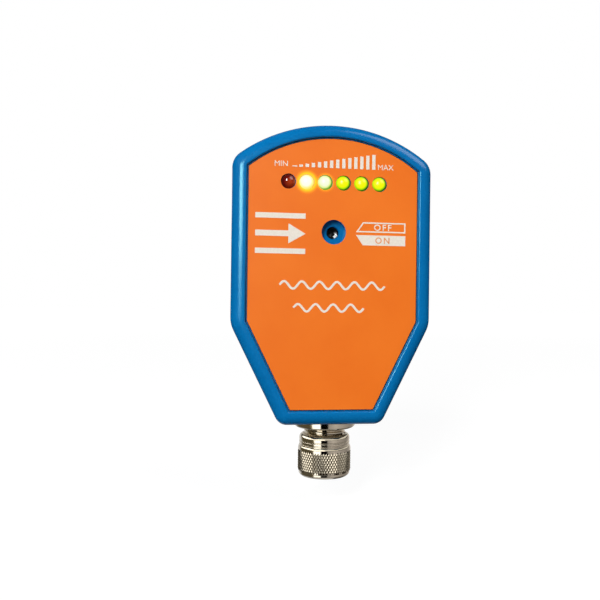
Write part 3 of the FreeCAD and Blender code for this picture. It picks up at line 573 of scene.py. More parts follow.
def knurl(mesh, low, high, root, crest, half_rows, flat_share):
    """Diamond knurl: raised diamonds with small flat tops between crossing grooves.

    half_rows is the number of half diamonds from low to high, and flat_share is how far a flat
    top reaches towards the grooves. The grooves are marked for painted shade.
    """
    grid = {}
    painted_groove_shade = mesh.verts.layers.float.new("painted_groove_shade")
    for up in range(half_rows + 1):
        height = low + (high - low) * up / half_rows
        for step in range(AROUND):
            if (step + up) % 2 == 0 or up in (0, half_rows):
                spot = swung(root, 2 * math.pi * step / AROUND, height)
                grid[step, up] = mesh.verts.new(Vector(spot) * MM)
                grid[step, up][painted_groove_shade] = 1.0
    rise = (high - low) / half_rows
    swing = 2 * math.pi / AROUND
    for up in range(half_rows + 1):
        for step in range(AROUND):
            if (step + up) % 2 == 0:
                continue
            ring = [((step + 1) % AROUND, up), (step, up + 1), ((step - 1) % AROUND, up), (step, up - 1)]
            if up in (0, half_rows):
                inside = ring[1] if up == 0 else ring[3]
                for side in (ring[0], ring[2]):
                    mesh.faces.new([grid[step, up], grid[side], grid[inside]])
                continue
            top = []
            for turn_share, rise_share in ((1, 0), (0, 1), (-1, 0), (0, -1)):
                angle = swing * (step + flat_share * turn_share)
                height = low + rise * (up + flat_share * rise_share)
                top.append(mesh.verts.new(Vector(swung(crest, angle, height)) * MM))
            mesh.faces.new(top)
            for index in range(4):
                after = (index + 1) % 4
                mesh.faces.new([grid[ring[index]], grid[ring[after]], top[after], top[index]])


def on_label(mesh, spot):
    """Front and back point of the ink over one (x, z) spot of the label."""
    x, z = spot
    front = mesh.verts.new(Vector((x, LABEL_FACE - INK, z)) * MM)
    back = mesh.verts.new(Vector((x, LABEL_FACE, z)) * MM)
    return front, back


def plate(mesh, outline):
    """Flat plate of ink with an outline of (x, z) points."""
    points = [on_label(mesh, spot) for spot in outline]
    mesh.faces.new([front for front, back in points])
    mesh.faces.new([back for front, back in points])
    for (front, back), (next_front, next_back) in zip(points, points[1:] + points[:1]):
        mesh.faces.new([front, next_front, next_back, back])


def ribbon(mesh, one_side, other_side, closed):
    """Strip of ink between two rows of (x, z) points, closed to a ring or with two ends."""
    pairs = [[on_label(mesh, spot) for spot in spots] for spots in zip(one_side, other_side)]
    onward = pairs[1:] + pairs[:1] if closed else pairs[1:]
    for (one, other), (next_one, next_other) in zip(pairs, onward):
        for corners in zip(one, next_one, next_other, other):
            mesh.faces.new(corners)
        for (front, back), (next_front, next_back) in ((one, next_one), (other, next_other)):
            mesh.faces.new([front, next_front, next_back, back])
    if not closed:
        for one, other in (pairs[0], pairs[-1]):
            mesh.faces.new([*one, *reversed(other)])


def word(mesh, letters, cap_height, spacing, bold, centre, lift):
    """Plain capitals as plates of ink; lift is the ink that already lies under them.

    bold is what the strokes gain on each side, as a share of the height.
    """
    text = bpy.data.curves.new(letters, "FONT")
    text.body = letters
    text.align_x = "CENTER"
    text.size = cap_height / CAPITAL_SHARE * MM
    text.space_character = spacing
    text.extrude = INK / 2 * MM
    text.offset = bold * cap_height * MM
    text.resolution_u = LETTER_STEPS
    holder = bpy.data.objects.new(letters, text)
    mesh.from_mesh(bpy.data.meshes.new_from_object(holder))
    bpy.data.objects.remove(holder)
    x, z = centre
    place = Matrix.Translation(Vector((x, LABEL_FACE - lift - INK / 2, z - cap_height / 2)) * MM)
    upright = Matrix.Rotation(math.pi / 2, 4, "X")
    bmesh.ops.transform(mesh, matrix=place @ upright, verts=mesh.verts)


def place_piece(name, mesh, material, body, position=None, crease=SHARP_EDGE):
    """Makes one closed mesh into a named piece that rides on a body.

    Edges that turn by less than crease shade smoothly.
    """
    if position:
        bmesh.ops.transform(mesh, matrix=position, verts=mesh.verts)
    bmesh.ops.remove_doubles(mesh, verts=mesh.verts, dist=WELD)
    bmesh.ops.recalc_face_normals(mesh, faces=mesh.faces)
    for face in mesh.faces:
        face.smooth = True
    for edge in mesh.edges:
        edge.smooth = edge.calc_face_angle(math.pi) < crease
    data = bpy.data.meshes.new(name)
    mesh.to_mesh(data)
    mesh.free()
    data.materials.clear()
    data.materials.append(material)
    piece = bpy.data.objects.new(name, data)
    bpy.context.scene.collection.objects.link(piece)
    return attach(piece, body)


# Knurled screw cap

COLLAR_RADIUS = 7.3
COLLAR_CONE = 1.0
COLLAR_LENGTH = 2.45
CAP_LIP_WIDTH = 0.3
CROWN_IN = 0.3
CROWN_DROP = 0.35
GROOVE_START = 0.9
GROOVE_SPACING = 0.9
GROOVE_WIDTH = 0.35
GROOVE_DEPTH = 0.2
KNURL_CREST = 7.65
KNURL_ROOT = 7.46
KNURL_HALF_ROWS = 9
KNURL_FLAT = 0.08
KNURL_CREASE = math.radians(26)
BASE_RADIUS = 7.35
BASE_BAND = 1.3
BASE_CHAMFER = 0.6
BASE_EASE = 0.1
# Height over which the grooves' painted shade fades out where the base meets the knurl
GROOVE_SHADE_EDGE = 0.08
SHOULDER_HEIGHT = 1.15
SHOULDER_STEPS = 6
CAP_BORE = 6.05
CAP_EASE = 0.3


def knurled_cap(material):
    """Screw cap: closed base, knurled grip, grooved collar and coned lip."""
    mesh = bmesh.new()
    collar_top = cap_high.z - COLLAR_CONE
    collar_end = collar_top - COLLAR_LENGTH
    grip_top = collar_end - SHOULDER_HEIGHT
    grip_end = cap_low.z + BASE_BAND
    base = [
        (0, cap_low.z),
        (BASE_RADIUS - BASE_CHAMFER, cap_low.z),
        (BASE_RADIUS, cap_low.z + BASE_CHAMFER),
        (BASE_RADIUS, grip_end - GROOVE_SHADE_EDGE),
        (KNURL_ROOT, grip_end),
    ]
    lathe(mesh, eased(base, BASE_EASE))
    knurl(mesh, grip_end, grip_top, KNURL_ROOT, KNURL_CREST, KNURL_HALF_ROWS, KNURL_FLAT)
    shoulder = [(KNURL_ROOT, grip_top)]
    for step in range(SHOULDER_STEPS + 1):
        angle = math.pi / 2 * (1 - step / SHOULDER_STEPS)
        out = COLLAR_RADIUS + (KNURL_CREST - COLLAR_RADIUS) * math.sin(angle)
        shoulder.append((out, collar_end - SHOULDER_HEIGHT * (1 - math.cos(angle))))
    lathe(mesh, shoulder)
    upper = [(COLLAR_RADIUS, collar_end)]
    floor = COLLAR_RADIUS - GROOVE_DEPTH
    for index in (1, 0):
        groove_top = collar_top - GROOVE_START - index * GROOVE_SPACING
        groove_end = groove_top - GROOVE_WIDTH
        upper += [
            (COLLAR_RADIUS, groove_end),
            (floor, groove_end),
            (floor, groove_top),
            (COLLAR_RADIUS, groove_top),
        ]
    upper += [
        (COLLAR_RADIUS, collar_top),
        (COLLAR_RADIUS - CROWN_IN, cap_high.z - CROWN_DROP),
        (CAP_BORE + CAP_LIP_WIDTH, cap_high.z),
        (CAP_BORE, cap_high.z),
        (CAP_BORE, CAP_FLOOR),
        (0, CAP_FLOOR),
    ]
    lathe(mesh, eased(upper, CAP_EASE))
    piece = place_piece("knurled_cap", mesh, material, "cap", ALONG_PLUG, KNURL_CREASE)
    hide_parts("connector_cap")
    return piece


# Threaded plug

PLUG_BORE = 4.8
PLUG_CREST = 5.95
PLUG_ROOT = 5.34
PLUG_PITCH = 1.0
PLUG_FADE = 0.5
TAIL_RADIUS = 6.0
TAIL_LENGTH = 8.0
FLANGE_RADIUS = 8.8
FLANGE_THICKNESS = 2.25
FLANGE_CHAMFER = 0.4
RING_INNER = 6.5
RING_OUTER = 7.8
RING_DEPTH = 0.9
PLUG_EASE = 0.08


def threaded_plug(material):
    """Plug shell: tail inside the housing, round flange and the outer thread."""
    mesh = bmesh.new()
    foot = plug_high.z - TAIL_LENGTH
    start = foot - FLANGE_THICKNESS
    tail = [
        (PLUG_BORE, plug_high.z),
        (TAIL_RADIUS, plug_high.z),
        (TAIL_RADIUS, foot),
        *ring_groove(RING_INNER, RING_OUTER, foot, foot - RING_DEPTH),
        (FLANGE_RADIUS, foot),
        (FLANGE_RADIUS, start + FLANGE_CHAMFER),
        (FLANGE_RADIUS - FLANGE_CHAMFER, start),
        (PLUG_ROOT, start),
    ]
    lathe(mesh, eased(tail, PLUG_EASE))
    thread(mesh, start, plug_low.z, PLUG_CREST, PLUG_ROOT, PLUG_PITCH, PLUG_FADE)
    lathe(mesh, [(PLUG_ROOT, plug_low.z), (PLUG_BORE, plug_low.z), (PLUG_BORE, plug_high.z)])
    piece = place_piece("threaded_plug", mesh, material, "housing", ALONG_PLUG)
    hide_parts("connector_shell")
    return piece


# Pipe fitting and probe

PIPE_SEAT = 0.0
HEX_ACROSS_FLATS = 27.0
HEX_FACE = 13.25
HEX_SLOPE = 0.58
NECK_RADIUS = 9.0
NECK_BORE = 5.0
O_RING_INNER = 9.9
O_RING_OUTER = 11.5
O_RING_DEPTH = 1.2
PIPE_SEAL_INNER = 10.98
PIPE_SEAL_OUTER = 12.38
PIPE_SEAL_DEPTH = 1.2
PIPE_CREST = 10.48
PIPE_ROOT = 9.32
PIPE_PITCH = 1.814
PIPE_LENGTH = 14.0
PIPE_FADE = 1.2
PROBE_RADIUS = 4.0
PROBE_TIP_RADIUS = 1.5
PROBE_TIP_STEPS = 8
PROBE_BORE = 3.1
PROBE_WALL = 0.9
FITTING_EASE = 0.12


def probe_fitting(material):
    """Turned fitting: inner neck, hexagon, pipe thread and closed round-ended probe."""
    mesh = bmesh.new()
    tip = fitting_high.y
    neck = [
        (NECK_BORE, fitting_low.y),
        (NECK_RADIUS, fitting_low.y),
        (NECK_RADIUS, COVER_BACK),
        *ring_groove(O_RING_INNER, O_RING_OUTER, COVER_BACK, COVER_BACK + O_RING_DEPTH),
        (HEX_FACE, COVER_BACK),
    ]
    lathe(mesh, eased(neck, FITTING_EASE))
    skin(mesh, hexagon_rows(HEX_ACROSS_FLATS, COVER_BACK, PIPE_SEAT, HEX_FACE, HEX_SLOPE))
    shoulder = [
        (HEX_FACE, PIPE_SEAT),
        *ring_groove(PIPE_SEAL_OUTER, PIPE_SEAL_INNER, PIPE_SEAT, PIPE_SEAT - PIPE_SEAL_DEPTH),
        (PIPE_ROOT, PIPE_SEAT),
    ]
    lathe(mesh, eased(shoulder, FITTING_EASE))
    thread(mesh, PIPE_SEAT, PIPE_LENGTH, PIPE_CREST, PIPE_ROOT, PIPE_PITCH, PIPE_FADE)
    probe = [(PIPE_ROOT, PIPE_LENGTH), (PROBE_RADIUS, PIPE_LENGTH)]
    for step in range(PROBE_TIP_STEPS + 1):
        angle = math.pi / 2 * step / PROBE_TIP_STEPS
        out = PROBE_RADIUS - PROBE_TIP_RADIUS * (1 - math.cos(angle))
        probe.append((out, tip - PROBE_TIP_RADIUS * (1 - math.sin(angle))))
    probe.append((0, tip))
    lathe(mesh, probe)
    inside = [
        (0, tip - PROBE_WALL),
        (PROBE_BORE, tip - PROBE_WALL),
        (PROBE_BORE, PIPE_LENGTH - PIPE_FADE),
        (NECK_BORE, PIPE_LENGTH - 2 * PIPE_FADE),
        (NECK_BORE, fitting_low.y),
    ]
    lathe(mesh, inside)
    piece = place_piece("probe_fitting", mesh, material, "housing", ALONG_PROBE)
    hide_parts("process_fitting")
    return piece


# Print on the face film: places are x and z on the label, and INK is how thick the ink lies

INK = 0.03
CAPITAL_SHARE = 0.69
LETTER_STEPS = 4
BAR_COUNT = 14
BAR_WIDTH = 0.9
BAR_PITCH = 1.662
BAR_STEP = 0.29
BAR_BASE = 17.37
LAST_BAR = 10.8
FIRST_BARS_WIDER = 0.4
SCALE_WORDS = {"MIN": -14.5, "MAX": 14.1}
SCALE_WORD_HEIGHT = 1.45
SCALE_WORD_MIDDLE = 18.1
SCALE_WORD_SPACING = 1.0
SCALE_WORD_BOLD = 0.0
TAG_TIP = 6.1
TAG_SLANT = 1.9
TAG_RIGHT = 19.9
TAG_MIDDLE = -0.22
TAG_GAP = 0.75
TAG_HEIGHT = 2.78
TAG_STROKE = 0.36
TAG_WORD_X = 13.5
TAG_WORD_HEIGHT = 1.65
TAG_WORD_SPACING = 1.3
TAG_WORD_BOLD = 0.018
ARROW_X = -14.5
ARROW_MIDDLE = -0.66
ARROW_LENGTH = 13.5
ARROW_HEAD = 4.6
ARROW_HEAD_HALF = 2.7
ARROW_SHAFT_HALF = 0.78
PIPE_WALL_HALF = 0.72
PIPE_WALL_OFFSET = 4.75
WAVE_LENGTH = 4.8
WAVE_SWING = 1.0
WAVE_STROKE = 0.6
WAVE_STEPS = 16
WAVE_ROWS = ((-0.15, -14.5, 6), (-1.15, -20.6, 4))


def rectangle(x_low, x_high, z_low, z_high):
    """Outline of an upright rectangle."""
    return [(x_low, z_low), (x_high, z_low), (x_high, z_high), (x_low, z_high)]


def level_bars(mesh):
    """Rising bars of the level scale; the lowest ones are wider dashes."""
    for number in range(1, BAR_COUNT + 1):
        x = LAST_BAR - (BAR_COUNT - number) * BAR_PITCH
        half = (BAR_WIDTH + FIRST_BARS_WIDER / number**2) / 2
        plate(mesh, rectangle(x - half, x + half, BAR_BASE, BAR_BASE + number * BAR_STEP))


def tag_outline(side, inset):
    """Half-arrow tag above (side 1) or below (side -1) the adjuster's level, shrunk by inset."""
    slant = math.hypot(TAG_SLANT, TAG_HEIGHT)
    near = TAG_GAP / 2 + inset
    far = TAG_GAP / 2 + TAG_HEIGHT - inset
    edge = TAG_TIP + inset * slant / TAG_HEIGHT
    points = [
        (edge + TAG_SLANT * inset / TAG_HEIGHT, near),
        (TAG_RIGHT - inset, near),
        (TAG_RIGHT - inset, far),
        (edge + TAG_SLANT * (1 - inset / TAG_HEIGHT), far),
    ]
    return [(x, TAG_MIDDLE + side * z) for x, z in points]


def outlined_tag(mesh):
    """Upper tag: a thin frame that points at the adjuster."""
    ribbon(mesh, tag_outline(1, 0), tag_outline(1, TAG_STROKE), True)


def filled_tag(mesh):
    """Lower tag: a solid half arrow that points at the adjuster."""
    plate(mesh, tag_outline(-1, 0))


def flow_sign(mesh):
    """Arrow between two pipe walls, a plain sign for flow."""
    left = ARROW_X - ARROW_LENGTH / 2
    right = ARROW_X + ARROW_LENGTH / 2
    neck = right - ARROW_HEAD
    half = [(left, ARROW_SHAFT_HALF), (neck, ARROW_SHAFT_HALF), (neck, ARROW_HEAD_HALF)]
    arrow = half + [(right, 0)] + [(x, -z) for x, z in reversed(half)]
    plate(mesh, [(x, ARROW_MIDDLE + z) for x, z in arrow])
    for side in (-1, 1):
        wall = ARROW_MIDDLE + side * PIPE_WALL_OFFSET
        plate(mesh, rectangle(left, right, wall - PIPE_WALL_HALF, wall + PIPE_WALL_HALF))


def ripples(mesh):
    """Two rows of plain ripples, as water has."""
    for x_middle, z_middle, waves in WAVE_ROWS:
        upper, lower = [], []
        for step in range(waves * WAVE_STEPS + 1):
            phase = 2 * math.pi * step / WAVE_STEPS
            x = x_middle + WAVE_LENGTH * (step / WAVE_STEPS - waves / 2)
            z = z_middle + WAVE_SWING * math.sin(phase)
            slope = WAVE_SWING * math.cos(phase) * 2 * math.pi / WAVE_LENGTH
            square = WAVE_STROKE / 2 / math.hypot(1, slope)
            upper.append((x - slope * square, z + square))
            lower.append((x + slope * square, z - square))
        ribbon(mesh, upper, lower, False)


def label_print(white, orange):
    """All print on the face film: white ink, and one orange word on the white tag."""
    drawings = {
        "print_level_bars": level_bars,
        "print_outlined_tag": outlined_tag,
        "print_filled_tag": filled_tag,
        "print_flow_sign": flow_sign,
        "print_ripples": ripples,
    }
    for name, draw in drawings.items():
        mesh = bmesh.new()
        draw(mesh)
        place_piece(name, mesh, white, "housing")
    for letters, x in SCALE_WORDS.items():
        mesh = bmesh.new()
        centre = (x, SCALE_WORD_MIDDLE)
        word(mesh, letters, SCALE_WORD_HEIGHT, SCALE_WORD_SPACING, SCALE_WORD_BOLD, centre, 0)
        place_piece(f"print_scale_{letters.lower()}", mesh, white, "housing")
    reach = (TAG_GAP + TAG_HEIGHT) / 2
    for letters, side, ink, lift in (("OFF", 1, white, 0), ("ON", -1, orange, INK)):
        mesh = bmesh.new()
        centre = (TAG_WORD_X, TAG_MIDDLE + side * reach)
        word(mesh, letters, TAG_WORD_HEIGHT, TAG_WORD_SPACING, TAG_WORD_BOLD, centre, lift)
        place_piece(f"print_tag_{letters.lower()}", mesh, ink, "housing")


# Dark strip round the face film: painted shadow in the gap where the film meets its pocket

FILM_GAP_SHADOW_WIDTH = 0.16
FILM_GAP_SHADOW_RISE = 0.01
HOLE_REACH = 5.0
FACES_FRONT = -0.99


def film_gap_shadow_strip(material):
    """Dark strip all round the film, where it meets its pocket: painted shadow of the gap between them.
    """
    mesh = bmesh.new()
    mesh.from_mesh(NODES["face_label"].data)
    bmesh.ops.remove_doubles(mesh, verts=mesh.verts, dist=WELD)
    sides = [face for face in mesh.faces if face.normal.y > FACES_FRONT]
    bmesh.ops.delete(mesh, geom=sides, context="FACES")
    line = {"thickness": FILM_GAP_SHADOW_WIDTH * MM, "use_boundary": True, "use_even_offset": True}
    edge = bmesh.ops.inset_region(mesh, faces=mesh.faces[:], **line)
    rim = set(edge["faces"])
    holes = [*lamp_centres.values(), centre_of("adjuster_rotor")]
    inner = []
    for face in mesh.faces:
        spot = face.calc_center_median()
        near = min(math.hypot(spot.x - hole.x, spot.z - hole.z) for hole in holes)
        if face not in rim or near < HOLE_REACH * MM:
            inner.append(face)
    bmesh.ops.delete(mesh, geom=inner, context="FACES")
    raised = bmesh.ops.extrude_face_region(mesh, geom=mesh.faces[:], use_keep_orig=True)
    lifted = [part for part in raised["geom"] if isinstance(part, bmesh.types.BMVert)]
    bmesh.ops.translate(mesh, verts=lifted, vec=(0, -FILM_GAP_SHADOW_RISE * MM, 0))
    place_piece("film_gap_shadow_strip", mesh, material, "housing")


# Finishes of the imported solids


def dress(node, material):
    """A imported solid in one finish; round faces shade smoothly and real edges stay crisp."""
    data = NODES[node].data
    data.materials.clear()
    data.materials.append(material)
    data.polygons.foreach_set("use_smooth", [True] * len(data.polygons))
    data.set_sharp_from_angle(angle=SHARP_EDGE)


def dress_lamps():
    """The first lamp is off, the second glares, and the last four glow green."""
    red = [(0, "#B4401A"), (0.9, "#983012"), (1.7, "#661410"), (2.6, "#300606")]
    yellow = ("#5A4400", [(0, "#FFFFFA"), (1.25, "#FFFCEC"), (1.7, "#FFF6A0"), (2.3, "#FFD21E")])
    pale = ("#16300A", [(0, "#FBFDEB"), (1.15, "#F7FBDA"), (1.6, "#E4F492"), (1.95, "#4C9A1E")])
    green = ("#0C2A06", [(0, "#FAFA06"), (1.3, "#F4F606"), (1.62, "#AEE804"), (1.95, "#145A0A")])
    dress("lamp_red", cast_epoxy_dark("cast_epoxy_lens_red", lamp_centres["lamp_red"], red))
    for name, (body, stops) in zip(LAMP_NAMES[1:], [yellow, pale, green, green, green]):
        title = name.replace("lamp", "cast_epoxy_lens")
        dress(name, cast_epoxy_lit(title, lamp_centres[name], body, stops))


def dress_solids():
    """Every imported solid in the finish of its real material."""
    # Name, deep and light colour, roughness, grit, relief and IOR: the housing is glossy, the
    # mouldings inside are duller, and the epoxy of the chips is the dullest
    blue = moulded_plastic("polyamide_moulded_blue", "#0067A6", "#0372B2", 0.21, 0.5, 0.035, 1.53)
    black = moulded_plastic("polyamide_moulded_black", "#0D0D0E", "#1A1A1C", 0.45, 0.5, 0.02, 1.53)
    ivory = moulded_plastic("polyamide_moulded_ivory", "#DAD6C8", "#E8E4D8", 0.42, 0.5, 0.02, 1.53)
    trimmer = moulded_plastic("polyester_moulded_deep_blue", "#0E3F86", "#17539F", 0.3, 0.5, 0.015, 1.55)
    chip = moulded_plastic("epoxy_moulded_black", "#121214", "#1E1E21", 0.5, 0.3, 0.02, 1.55)
    # The nitrile seals are black, and the pipe's fluoro rubber is a little greyer
    rubber = moulded_rubber("nitrile_rubber_moulded", "#0B0B0B", "#171716")
    pipe_seal = moulded_rubber("fluoro_rubber_moulded", "#101110", "#20211F")
    # Name, deep and light colour, roughness, axis and spacing of the tool marks: zinc is a cool
    # grey, tin lighter and duller, drawn aluminium pale, gold warm, and sawn nickel yellowish
    steel = turned_metal("zinc_plated_steel_rolled", "#A9ABAA", "#C2C3BF", 0.28, "Y", 0.3)
    tin = turned_metal("tinned_copper_drawn", "#B5B5B2", "#CDCDC9", 0.35, "Y", 0.5)
    can = turned_metal("aluminium_can_drawn", "#C4C5C8", "#D8D9DB", 0.3, "Y", 0.4)
    gold = turned_metal("gold_plated_brass_turned", "#C79A3C", "#E0B656", 0.2, "Z", 0.3)
    nickel_inner = turned_metal("nickel_plated_brass_sawn", "#A89E8C", "#BFB5A2", 0.3, "Z", 0.3)
    # The alumina is off-white and half matt, and the glazed resistors are near black and shinier
    alumina = fired_ceramic("alumina_ceramic_fired", "#DEDBD0", "#F0EEE6", 0.45)
    resistor = fired_ceramic("glazed_resistor_fired", "#17181B", "#26282C", 0.3)
    finishes = {
        blue: ["front_housing", "rear_cover"],
        black: ["lamp_holder", "connector_insert"],
        ivory: ["sensor_header", "plug_header"],
        trimmer: ["trimmer_body"],
        chip: ["controller_chip", "regulator_chip", "output_transistor"],
        rubber: ["cover_gasket", "fitting_o_ring", "connector_o_ring", "cap_seal"],
        pipe_seal: ["process_seal"],
        steel: ["board_screws", "cover_screws"],
        tin: ["lamp_leads"],
        can: ["capacitors"],
        gold: ["connector_pins"],
        nickel_inner: ["connector_nut", "fitting_nut"],
        alumina: ["sensor_carrier"],
        resistor: ["heater_element", "reference_element"],
        rotor_painted_light_patch(): ["adjuster_rotor"],
        polyester_film_printed(): ["face_label"],
        glass_epoxy_board(): ["main_board"],
        wire_insulation("wire_insulation_extruded_plug", "Y", PLUG_AXIS * MM): ["plug_wires"],
        wire_insulation("wire_insulation_extruded_sensor", "Z", 0.0): ["sensor_wires"],
    }
    for material, nodes in finishes.items():
        for node in nodes:
            dress(node, material)


# Studio

# Camera: place and clip in millimetres, angles in degrees, shift in pixels of the frame
CAMERA_PLACE = (-27.5, -218.85, -18.97)
CAMERA_TILT = 90.17
CAMERA_ROLL = -0.725
CAMERA_HEADING = -8.408
CAMERA_LENS = 40.8
CAMERA_SHIFT = -31
FRAME_WIDTH = 600
SENSOR_WIDTH = 36.0
CAMERA_CLIP = 10.0

# Surroundings: the floor's size and the distances from which it whitens, in metres, how white it
# shows near and far, and the light from all round
FLOOR_SIZE = 8.0
WHITENS_FROM = 0.3
WHITENS_TO = 1.6
FLOOR_NEAR = 0.88
FLOOR_FAR = 0.97
AMBIENT = 0.16

# What the lamps and cards stand round: a spot on the plug's axis, below the origin's level
STUDIO_DROP = 20
STUDIO_CENTRE = Vector((0, PLUG_AXIS * MM, -STUDIO_DROP * MM))

# Lamps: azimuth and elevation in degrees, distance, width and height in metres, power in watts
KEY_LIGHT = {"direction": (-24, 21), "distance": 2.0, "size": (0.36, 1.1), "power": 32}
LEFT_WINDOW = {"direction": (-24, 11), "distance": 2.0, "size": (0.9, 0.5), "power": 24}
LEFT_LIGHT = {"direction": (-62, 30), "distance": 1.5, "size": (0.8, 0.8), "power": 6}
FILL_LIGHT = {"direction": (50, 45), "distance": 0.8, "size": (0.5, 0.5), "power": 2}
BACK_LIGHT = {"distance": 1.5, "size": (0.8, 0.8), "power": 12}
BACK_LIGHTS = {"back_light_left": (-150, 30), "back_light_right": (140, 30)}

# Cards: distances in metres, step and lowest and highest elevation in degrees
ROOM_DISTANCE = 3.0
CARD_DISTANCE = 2.6
CARD_STEP = 10
ROOM = (-75, 89)
WALLS = (-21, 7)
LOW_WALLS = (-60, -24)
MIDDLE_SOFTBOXES = (12, 29)
UPPER_SOFTBOXES = (29, 54)
GROUND = (-89, -64)
OVERHEAD = (58, 89)


def camera():
    """Camera at the photograph's place and angle."""
    data = bpy.data.cameras.new("photo_camera")
    data.lens = CAMERA_LENS
    data.sensor_width = SENSOR_WIDTH
    data.shift_x = CAMERA_SHIFT / FRAME_WIDTH
    data.clip_start = CAMERA_CLIP * MM
    eye = bpy.data.objects.new("photo_camera", data)
    eye.location = Vector(CAMERA_PLACE) * MM
    angles = (CAMERA_TILT, CAMERA_ROLL, CAMERA_HEADING)
    eye.rotation_euler = [math.radians(angle) for angle in angles]
    bpy.context.scene.collection.objects.link(eye)
    bpy.context.scene.camera = eye


def seen_rays(tree):
    """1 for rays that show the surroundings: camera, mirror and glass rays."""
    path = add(tree, "ShaderNodeLightPath", {})
    total = path.outputs["Is Camera Ray"]
    for kind in ("Is Glossy Ray", "Is Transmission Ray"):
        total = add(tree, "ShaderNodeMath", {0: total, 1: path.outputs[kind]}, operation="MAXIMUM")
    return total


def white_surroundings():
    """White to look at, and a plain soft light from all round."""
    world = bpy.data.worlds.new("studio")
    world.use_nodes = True
    tree = world.node_tree
    tree.nodes.clear()
    level = {"Value": seen_rays(tree), "To Min": AMBIENT, "To Max": 1.0}
    strength = add(tree, "ShaderNodeMapRange", level)
    backdrop = add(tree, "ShaderNodeBackground", {"Color": (1, 1, 1, 1), "Strength": strength})
    add(tree, "ShaderNodeOutputWorld", {"Surface": backdrop})
    world.cycles.sampling_method = "NONE"
    bpy.context.scene.world = world


def pale_floor():
    """White floor that takes a soft shadow, as low as the cap comes when it is unscrewed."""
    half = FLOOR_SIZE / 2
    data = bpy.data.meshes.new("floor")
    corners = [(-half, -half, 0), (half, -half, 0), (half, half, 0), (-half, half, 0)]
    data.from_pydata(corners, [], [(0, 1, 2, 3)])
    floor = bpy.data.objects.new("floor", data)
    floor.location = (0, 0, cad_box[0].z - CAP_TRAVEL)
    bpy.context.scene.collection.objects.link(floor)
    material, tree, place = new_material("floor_paper_white")
    fibre = add(tree, "ShaderNodeTexNoise", {"Vector": place, "Scale": per_metre(3), "Detail": 2})
    paper = {
        "Color": linear("#7C7C7C"),
        "Roughness": add(tree, "ShaderNodeMapRange", {"Value": fibre, "To Max": 0.1}),
    }
    away = add(tree, "ShaderNodeVectorMath", {0: place}, operation="LENGTH")
    far = {
        "Value": away.outputs["Value"],
        "From Min": WHITENS_FROM,
        "From Max": WHITENS_TO,
        "To Min": FLOOR_NEAR,
        "To Max": FLOOR_FAR,
    }
    shown = {0: seen_rays(tree), 1: add(tree, "ShaderNodeMapRange", far)}
    white = {
        "Color": (1, 1, 1, 1),
        "Strength": add(tree, "ShaderNodeMath", shown, operation="MULTIPLY"),
    }
    both = {
        0: add(tree, "ShaderNodeBsdfDiffuse", paper),
        1: add(tree, "ShaderNodeEmission", white),
    }
    add(tree, "ShaderNodeOutputMaterial", {"Surface": add(tree, "ShaderNodeAddShader", both)})
    data.materials.append(material)
    floor.visible_glossy = False
    return floor


def towards(azimuth, elevation):
    """Direction from the part; azimuth 0 is in front of the label and grows to the right."""
    around, up = math.radians(azimuth), math.radians(elevation)
    level = math.cos(up)
    return Vector((math.sin(around) * level, -math.cos(around) * level, math.sin(up)))


def soft_lamp(name, receivers, direction, distance, size, power):
    """Rectangular soft light that looks at the part and reaches only its receivers."""
    data = bpy.data.lights.new(name, "AREA")
    data.shape = "RECTANGLE"
    data.size, data.size_y = size
    data.energy = power
    lamp = bpy.data.objects.new(name, data)
    way = towards(*direction)
    lamp.location = STUDIO_CENTRE + way * distance
    lamp.rotation_euler = (-way).to_track_quat("-Z", "Y").to_euler()
    lamp.light_linking.receiver_collection = receivers
    bpy.context.scene.collection.objects.link(lamp)
    return lamp


def reflection_card(name, distance, elevations, levels, colour, receivers=None):
    """Curved card that only mirror rays see, between two elevations in degrees.

    levels are azimuths in degrees, from left to right, with the card's brightness there.
    receivers is the collection of pieces that mirror the card, where not all of them do.
    """
    columns = [levels[0]]
    for (start, first), (end, second) in zip(levels, levels[1:]):
        steps = math.ceil((end - start) / CARD_STEP)
        for step in range(1, steps + 1):
            share = step / steps
            columns.append((start + (end - start) * share, first + (second - first) * share))
    low, high = elevations
    rows = math.ceil((high - low) / CARD_STEP)
    corners, faces, glow = [], [], []
    for across, (azimuth, brightness) in enumerate(columns):
        for up in range(rows + 1):
            elevation = low + (high - low) * up / rows
            corners.append(STUDIO_CENTRE + towards(azimuth, elevation) * distance)
            glow.append(brightness)
            if across and up:
                last = len(corners) - 1
                faces.append((last - rows - 2, last - 1, last, last - rows - 1))
    data = bpy.data.meshes.new(name)
    data.from_pydata(corners, [], faces)
    data.attributes.new("brightness", "FLOAT", "POINT").data.foreach_set("value", glow)
    card = bpy.data.objects.new(name, data)
    bpy.context.scene.collection.objects.link(card)
    material, tree, _ = new_material(name)
    level = add(tree, "ShaderNodeAttribute", {}, attribute_name="brightness")
    light = {"Color": linear(colour), "Strength": level.outputs["Fac"]}
    add(tree, "ShaderNodeOutputMaterial", {"Surface": add(tree, "ShaderNodeEmission", light)})
    data.materials.append(material)
    card.visible_camera = False
    card.visible_diffuse = False
    card.visible_shadow = False
    card.visible_transmission = False
    card.light_linking.receiver_collection = receivers


def linked(name, pieces, state):
    """Collection that says which pieces a light reaches, or with EXCLUDE which it leaves out."""
    group = bpy.data.collections.new(name)
    for piece in pieces:
        group.objects.link(piece)
    for entry in group.collection_objects:
        entry.light_linking.link_state = state
    return group


